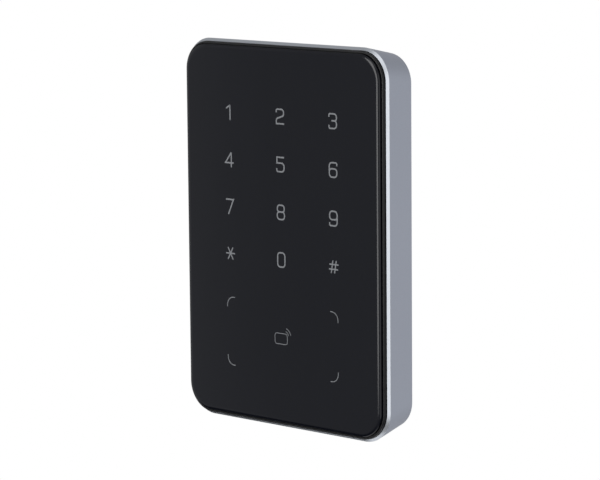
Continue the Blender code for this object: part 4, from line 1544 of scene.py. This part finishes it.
@dataclass
class Screws:
    """Every screw of the reader: round head, star socket and rolled thread."""

    palette: Palette
    case: ScrewSize = ScrewSize(0.0020, 0.0013, 0.0011, 0.0005, 0.0009)
    board: ScrewSize = ScrewSize(0.0016, 0.0009, 0.0008, 0.0004, 0.0007)
    security: ScrewSize = ScrewSize(0.0025, 0.0009, 0.0015, 0.0006, 0.0012)
    crown_share: float = 0.80
    crown_drop: float = 0.25
    crown_fillet: float = 0.3
    head_edge: float = 0.00006
    plain_end: float = 1.5
    crest_start: float = 0.35
    crest_end: float = 0.50
    core_share: float = 0.86
    tip_share: float = 0.55
    lobes: int = 6
    lobe_share: float = 0.16
    socket_share: float = 0.62
    socket_steps: int = 72
    steps: int = 36

    def profile(self, size: ScrewSize, length: float) -> list[Corner]:
        """Follow the screw from the top of its head to its tip.

        Args:
            size: Sizes of the screw.
            length: Its length.

        Returns:
            Corners of radius and height.
        """
        core = size.shank_radius * self.core_share
        corners = [
            Corner((size.head_radius * self.crown_share, 0.0)),
            Corner((size.head_radius, size.head * self.crown_drop), size.head * self.crown_fillet),
            Corner((size.head_radius, size.head), self.head_edge),
            Corner((core, size.head)),
        ]
        height = size.head + size.pitch
        while height < length - size.pitch * self.plain_end:
            corners.append(Corner((core, height)))
            corners.append(Corner((size.shank_radius, height + size.pitch * self.crest_start)))
            corners.append(Corner((size.shank_radius, height + size.pitch * self.crest_end)))
            height += size.pitch
        corners.append(Corner((core, length - size.pitch)))
        corners.append(Corner((core * self.tip_share, length)))
        return corners

    def socket(self, size: ScrewSize, head: Vector, inward: Vector) -> bpy.types.Object:
        """Shape the lobed socket in the head.

        Args:
            size: Sizes of the screw.
            head: Middle of the top of the head.
            inward: Direction from the head to the tip.

        Returns:
            The cutter.
        """
        points = []
        for step in range(self.socket_steps):
            angle = FULL_TURN * step / self.socket_steps
            radius = size.socket * (1 - self.lobe_share + self.lobe_share * math.cos(self.lobes * angle))
            points.append(Vector((radius * math.cos(angle), radius * math.sin(angle), 0)))
        turn = inward.to_track_quat("Z", "Y")
        loops = []
        for height in (-size.pitch, size.head * self.socket_share):
            loops.append([head + inward * height + turn @ point for point in points])
        return skin("socket_cutter", loops, Closing.SOLID, [])

    def make(self, node: str, size: ScrewSize, inward: Vector) -> bpy.types.Object:
        """Make the screw that stands for a node.

        Args:
            node: The CAD node.
            size: Sizes of the screw.
            inward: Direction from the head to the tip.

        Returns:
            The screw.
        """
        low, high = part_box(node)
        middle = (low + high) / 2
        length = abs((high - low).dot(inward))
        head = middle - inward * (length / 2)
        turn = inward.to_track_quat("Z", "Y")
        points, _ = filleted(self.profile(size, length), False, 3)
        loops = []
        for radius, height in points:
            ring = [Vector((p.x, p.y, 0)) for p in circle(radius, self.steps)]
            loops.append([head + inward * height + turn @ point for point in ring])
        name = node.replace("screw", "bolt")
        screw = skin(name, loops, Closing.SOLID, [self.palette.screw])
        cutters = [self.socket(size, head, inward)]
        return combine(screw, cutters, "DIFFERENCE")

    def dress(self) -> None:
        """Place every screw."""
        forward, backward = Vector((0, -1, 0)), Vector((0, 1, 0))
        for end in ("upper", "lower"):
            for side in ("left", "right"):
                for kind, size in (("case", self.case), ("keypad", self.board)):
                    node = f"{kind}_screw_{end}_{side}"
                    mount(self.make(node, size, forward), Body.CASE, "screw_steel", node)
        for side in ("left", "right"):
            node = f"main_screw_{side}"
            mount(self.make(node, self.board, backward), Body.CASE, "screw_steel", node)
        security = self.make("security_screw", self.security, Vector((0, 0, 1)))
        mount(security, Body.SCREW, "screw_steel", "security_screw")


@dataclass
class TamperSwitch:
    """Plunger that the wall holds in, and the spring behind its collar."""

    palette: Palette
    radius: float = 0.0015
    collar_radius: float = 0.0023
    collar: float = 0.0004
    stem_radius: float = 0.0006
    collar_at: float = 0.0009
    spring_radius: float = 0.0014
    wire_radius: float = 0.00013
    turns: float = 1.75
    flat_share: float = 0.06
    steps: int = 36
    wire_steps: int = 10
    dome: float = 0.0008
    dome_share: float = 0.2
    tip: float = 0.0002
    tip_share: float = 0.6
    edge: float = 0.0001

    def plunger(self) -> bpy.types.Object:
        """Build the plunger with its domed end.

        Returns:
            The plunger.
        """
        low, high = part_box("tamper_plunger")
        centre = Vector(((low.x + high.x) / 2, low.y, (low.z + high.z) / 2))
        last = high.y - low.y
        collar = self.collar_at
        profile = [
            Corner((self.stem_radius * self.tip_share, 0.0)),
            Corner((self.stem_radius, self.tip)),
            Corner((self.stem_radius, collar)),
            Corner((self.collar_radius, collar), self.edge),
            Corner((self.collar_radius, collar + self.collar), self.edge),
            Corner((self.radius, collar + self.collar)),
            Corner((self.radius, last), self.dome),
            Corner((self.radius * self.dome_share, last)),
        ]
        return turned("plunger_pin", profile, centre, Closing.SOLID, self.palette.plunger, self.steps)

    def spring(self) -> bpy.types.Object:
        """Sweep the wire of the coil spring, whose end turns lie flatter.

        Returns:
            The spring.
        """
        low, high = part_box("tamper_spring")
        centre = node_centre("tamper_spring")
        first, last = low.y + self.wire_radius, high.y - self.wire_radius
        steps = int(self.steps * self.turns)
        loops = []
        for step in range(steps + 1):
            share = step / steps
            rise = share - self.flat_share * math.sin(FULL_TURN * share)
            angle = FULL_TURN * self.turns * share
            outward = Vector((math.cos(angle), 0, math.sin(angle)))
            middle = Vector((centre.x, first + (last - first) * rise, centre.z))
            middle += outward * self.spring_radius
            wire = circle(self.wire_radius, self.wire_steps)
            loops.append([middle + outward * p.x + Vector((0, p.y, 0)) for p in wire])
        return skin("plunger_spring", loops, Closing.SOLID, [self.palette.wire])

    def dress(self) -> None:
        """Place the plunger on its own body, and build the spring in the room between it and the case."""
        mount(self.plunger(), Body.PLUNGER, "plunger_plastic", "tamper_plunger")
        spring = self.spring()
        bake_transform(spring)
        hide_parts("tamper_spring")
        LOG.info("%s: stretches between the case and the plunger", spring.name)


# ---------------------------------------------------------------------------------------------
# Pieces carried over from the model
# ---------------------------------------------------------------------------------------------


@dataclass
class CarriedPieces:
    """Nodes whose shape is right as modelled: they get a finish and rounded edges."""

    palette: Palette
    edge: float = 0.00012
    weld: float = 0.000002
    edge_angle: float = math.radians(40)

    def finishes(self) -> dict[str, tuple[bpy.types.Material, float]]:
        """Choose what each node gets.

        Returns:
            Finish and width of the rounded edges, by node.
        """
        fine, soft = self.edge, 2 * self.edge
        plan = {
            "rear_housing": (self.palette.case, fine),
            "wall_bracket": (self.palette.bracket, fine),
            "housing_seal": (self.palette.rubber, soft),
            "glass_adhesive": (self.palette.tape, 0.0),
            "touch_film": (self.palette.film, 0.0),
            "key_light_guide": (self.palette.diffuser, fine),
            "card_light_guide": (self.palette.diffuser, fine),
            "antenna_coil": (self.palette.copper, soft),
            "keypad_board": (self.palette.board, 0.0),
            "main_board": (self.palette.board, 0.0),
            "board_link": (self.palette.nylon, 0.0),
            "cable_socket": (self.palette.nylon, fine),
            "crystal": (self.palette.can, 0.0),
            "buzzer": (self.palette.case, soft),
        }
        packages = ("touch_controller", "processor", "card_chip", "line_driver", "regulator")
        for node in packages + ("inductor", "capacitor_1", "capacitor_2", "tamper_switch"):
            plan[node] = (self.palette.chip, 0.0)
        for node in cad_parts:
            if "_light_" in node and not node.endswith("guide"):
                plan[node] = (self.palette.light, fine)
        return plan

    def dress(self) -> None:
        """Give each node its finish."""
        for node, (material, edge) in self.finishes().items():
            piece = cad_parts[node]
            piece.data.materials.clear()
            piece.data.materials.append(material)
            weld = piece.modifiers.new("weld", "WELD")
            weld.merge_threshold = self.weld
            if edge > 0.0:
                bevel = piece.modifiers.new("edge_break", "BEVEL")
                bevel.width = edge
                bevel.segments = 2
                bevel.limit_method = "ANGLE"
                bevel.angle_limit = self.edge_angle
            shade(piece)
            LOG.info("%s: dressed as %s", node, material.name)


# ---------------------------------------------------------------------------------------------
# Studio
# ---------------------------------------------------------------------------------------------


@dataclass(frozen=True)
class LightPanel:
    """Soft rectangular light on a stand, aimed at the reader."""

    name: str
    azimuth: float
    elevation: float
    distance: float
    width: float
    height: float
    radiance: float

    def place(self) -> None:
        """Add the light, out of the camera's sight."""
        data = bpy.data.lights.new(self.name, "AREA")
        data.shape = "RECTANGLE"
        data.size = self.width
        data.size_y = self.height
        data.energy = self.radiance * math.pi * self.width * self.height
        light = bpy.data.objects.new(self.name, data)
        toward = around(self.azimuth, self.elevation)
        light.location = toward * self.distance
        light.rotation_euler = toward.to_track_quat("Z", "Y").to_euler()
        light.visible_camera = False
        bpy.context.scene.collection.objects.link(light)


def around(azimuth: float, elevation: float) -> Vector:
    """Point out from the reader.

    Args:
        azimuth: Degrees from the front of the glass toward +X.
        elevation: Degrees above the horizon.

    Returns:
        The direction.
    """
    turn, rise = math.radians(azimuth), math.radians(elevation)
    across = math.cos(rise)
    return Vector((math.sin(turn) * across, -math.cos(turn) * across, math.sin(rise)))


@dataclass
class Studio:
    """Camera, soft lights, white surroundings and a pale floor below."""

    azimuth: float = 43.30
    elevation: float = 8.25
    roll: float = -0.50
    distance: float = 0.9386
    shift_right: float = 0.006126
    shift_up: float = -0.000804
    lens: float = 174.11
    sensor: float = 36.0
    nearest: float = 0.01
    fill: float = 0.27
    behind: float = 0.55
    behind_low: float = 0.42
    behind_high: float = 0.36
    below: float = 0.02
    turn_behind: tuple[float, float] = (0.1, 0.6)
    ahead_rise: tuple[float, float] = (-0.60, -0.26)
    behind_rise: tuple[float, float] = (-0.65, -0.15)
    behind_fall: tuple[float, float] = (0.05, 0.50)
    floor_radius: float = 0.45
    floor_height: float = -0.70
    floor_glow: float = 0.35
    panels: tuple[LightPanel, ...] = (
        LightPanel("front_right", 37.0, -2.0, 1.3, 0.84, 1.25, 0.74),
        LightPanel("front_high", 10.0, 44.0, 1.3, 1.00, 0.70, 0.60),
        LightPanel("front_low", 12.0, -42.0, 1.3, 0.80, 0.50, 0.15),
        LightPanel("front_strip", -20.0, 8.0, 1.3, 0.50, 1.0, 3.0),
        LightPanel("left_fill", -60.5, 0.0, 1.5, 0.80, 1.5, 0.14),
        LightPanel("back_high", 165.0, 65.0, 1.4, 1.0, 0.8, 0.20),
    )

    def camera(self, target: Vector) -> None:
        """Add the camera.

        Args:
            target: Point of the glass that it is aimed past.
        """
        back = around(self.azimuth, self.elevation)
        right = (-back).cross(Vector((0, 0, 1))).normalized()
        upward = right.cross(-back)
        roll = math.radians(self.roll)
        right, upward = (
            right * math.cos(roll) + upward * math.sin(roll),
            upward * math.cos(roll) - right * math.sin(roll),
        )
        data = bpy.data.cameras.new("camera")
        data.lens = self.lens
        data.sensor_width = self.sensor
        data.clip_start = self.nearest
        camera = bpy.data.objects.new("camera", data)
        place = target + back * self.distance + right * self.shift_right + upward * self.shift_up
        turn = Matrix((right, upward, back)).transposed().to_4x4()
        camera.matrix_world = Matrix.Translation(place) @ turn
        bpy.context.scene.collection.objects.link(camera)
        bpy.context.scene.camera = camera

    def surroundings(self) -> None:
        """White to the eye; to the reader a soft grey light, darker below and lighter behind."""
        world = bpy.data.worlds.new("studio")
        bpy.context.scene.world = world
        graph = Graph("studio", world)
        direction = graph.node("ShaderNodeTexCoord", output="Generated")
        ahead = graph.node("ShaderNodeSeparateXYZ", inputs={0: direction}, output="Y")
        upward = graph.node("ShaderNodeSeparateXYZ", inputs={0: direction}, output="Z")
        behind = graph.rise(ahead, *self.turn_behind)
        ahead_light = graph.rise(upward, *self.ahead_rise, self.below, self.fill)
        upper_loss = graph.rise(upward, *self.behind_fall, 0.0, self.behind - self.behind_high)
        behind_light = graph.rise(upward, *self.behind_rise, self.behind_low, self.behind) - upper_loss
        strength = (1 - behind) * ahead_light + behind * behind_light
        soft = graph.node("ShaderNodeBackground", inputs={0: (0.97, 0.985, 1.0, 1.0), 1: strength})
        seen = graph.node("ShaderNodeBackground", inputs={0: (1.0, 1.0, 1.0, 1.0), 1: 1.0})
        eye = graph.node("ShaderNodeLightPath", output="Is Camera Ray")
        mixed = graph.node("ShaderNodeMixShader", inputs={0: eye, 1: soft, 2: seen})
        graph.plug(graph.tree.nodes["World Output"].inputs["Surface"], mixed)

    def floor(self) -> None:
        """Pale round floor, well below the reader as it hangs on its wall."""
        graph = Graph("pale_floor")
        grain = graph.noise(0.02, 3.0)
        graph.set(Base_Color=graph.mix(grain, (0.78, 0.78, 0.78), (0.82, 0.82, 0.82)), Roughness=0.9)
        graph.set(Emission_Color=(0.97, 0.98, 1.0), Emission_Strength=self.floor_glow)
        mesh = bmesh.new()
        matrix = Matrix.Translation((0, 0, self.floor_height))
        bmesh.ops.create_circle(mesh, cap_ends=True, segments=96, radius=self.floor_radius, matrix=matrix)
        add_object("floor", mesh, graph.material)

    def dress(self) -> None:
        """Set up the studio."""
        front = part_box("touch_glass")[0].y
        self.camera(Vector((0, front, 0)))
        self.surroundings()
        self.floor()
        for panel in self.panels:
            panel.place()
        bpy.context.scene.view_settings.view_transform = "Standard"


def main() -> None:
    """Build every piece of the reader, dress it and set up the studio."""
    envelope = Envelope.of_model()
    palette = Palette()
    TouchGlass(envelope, palette).dress()
    Legends(envelope, palette).dress()
    FrontCover(envelope, palette).dress()
    MetalFrame(envelope, palette).dress()
    CableGrommet(palette).dress()
    Screws(palette).dress()
    TamperSwitch(palette).dress()
    CarriedPieces(palette).dress()
    Studio().dress()


if __name__ == "__main__":
    logging.basicConfig(level=logging.INFO, format="%(message)s")
    main()
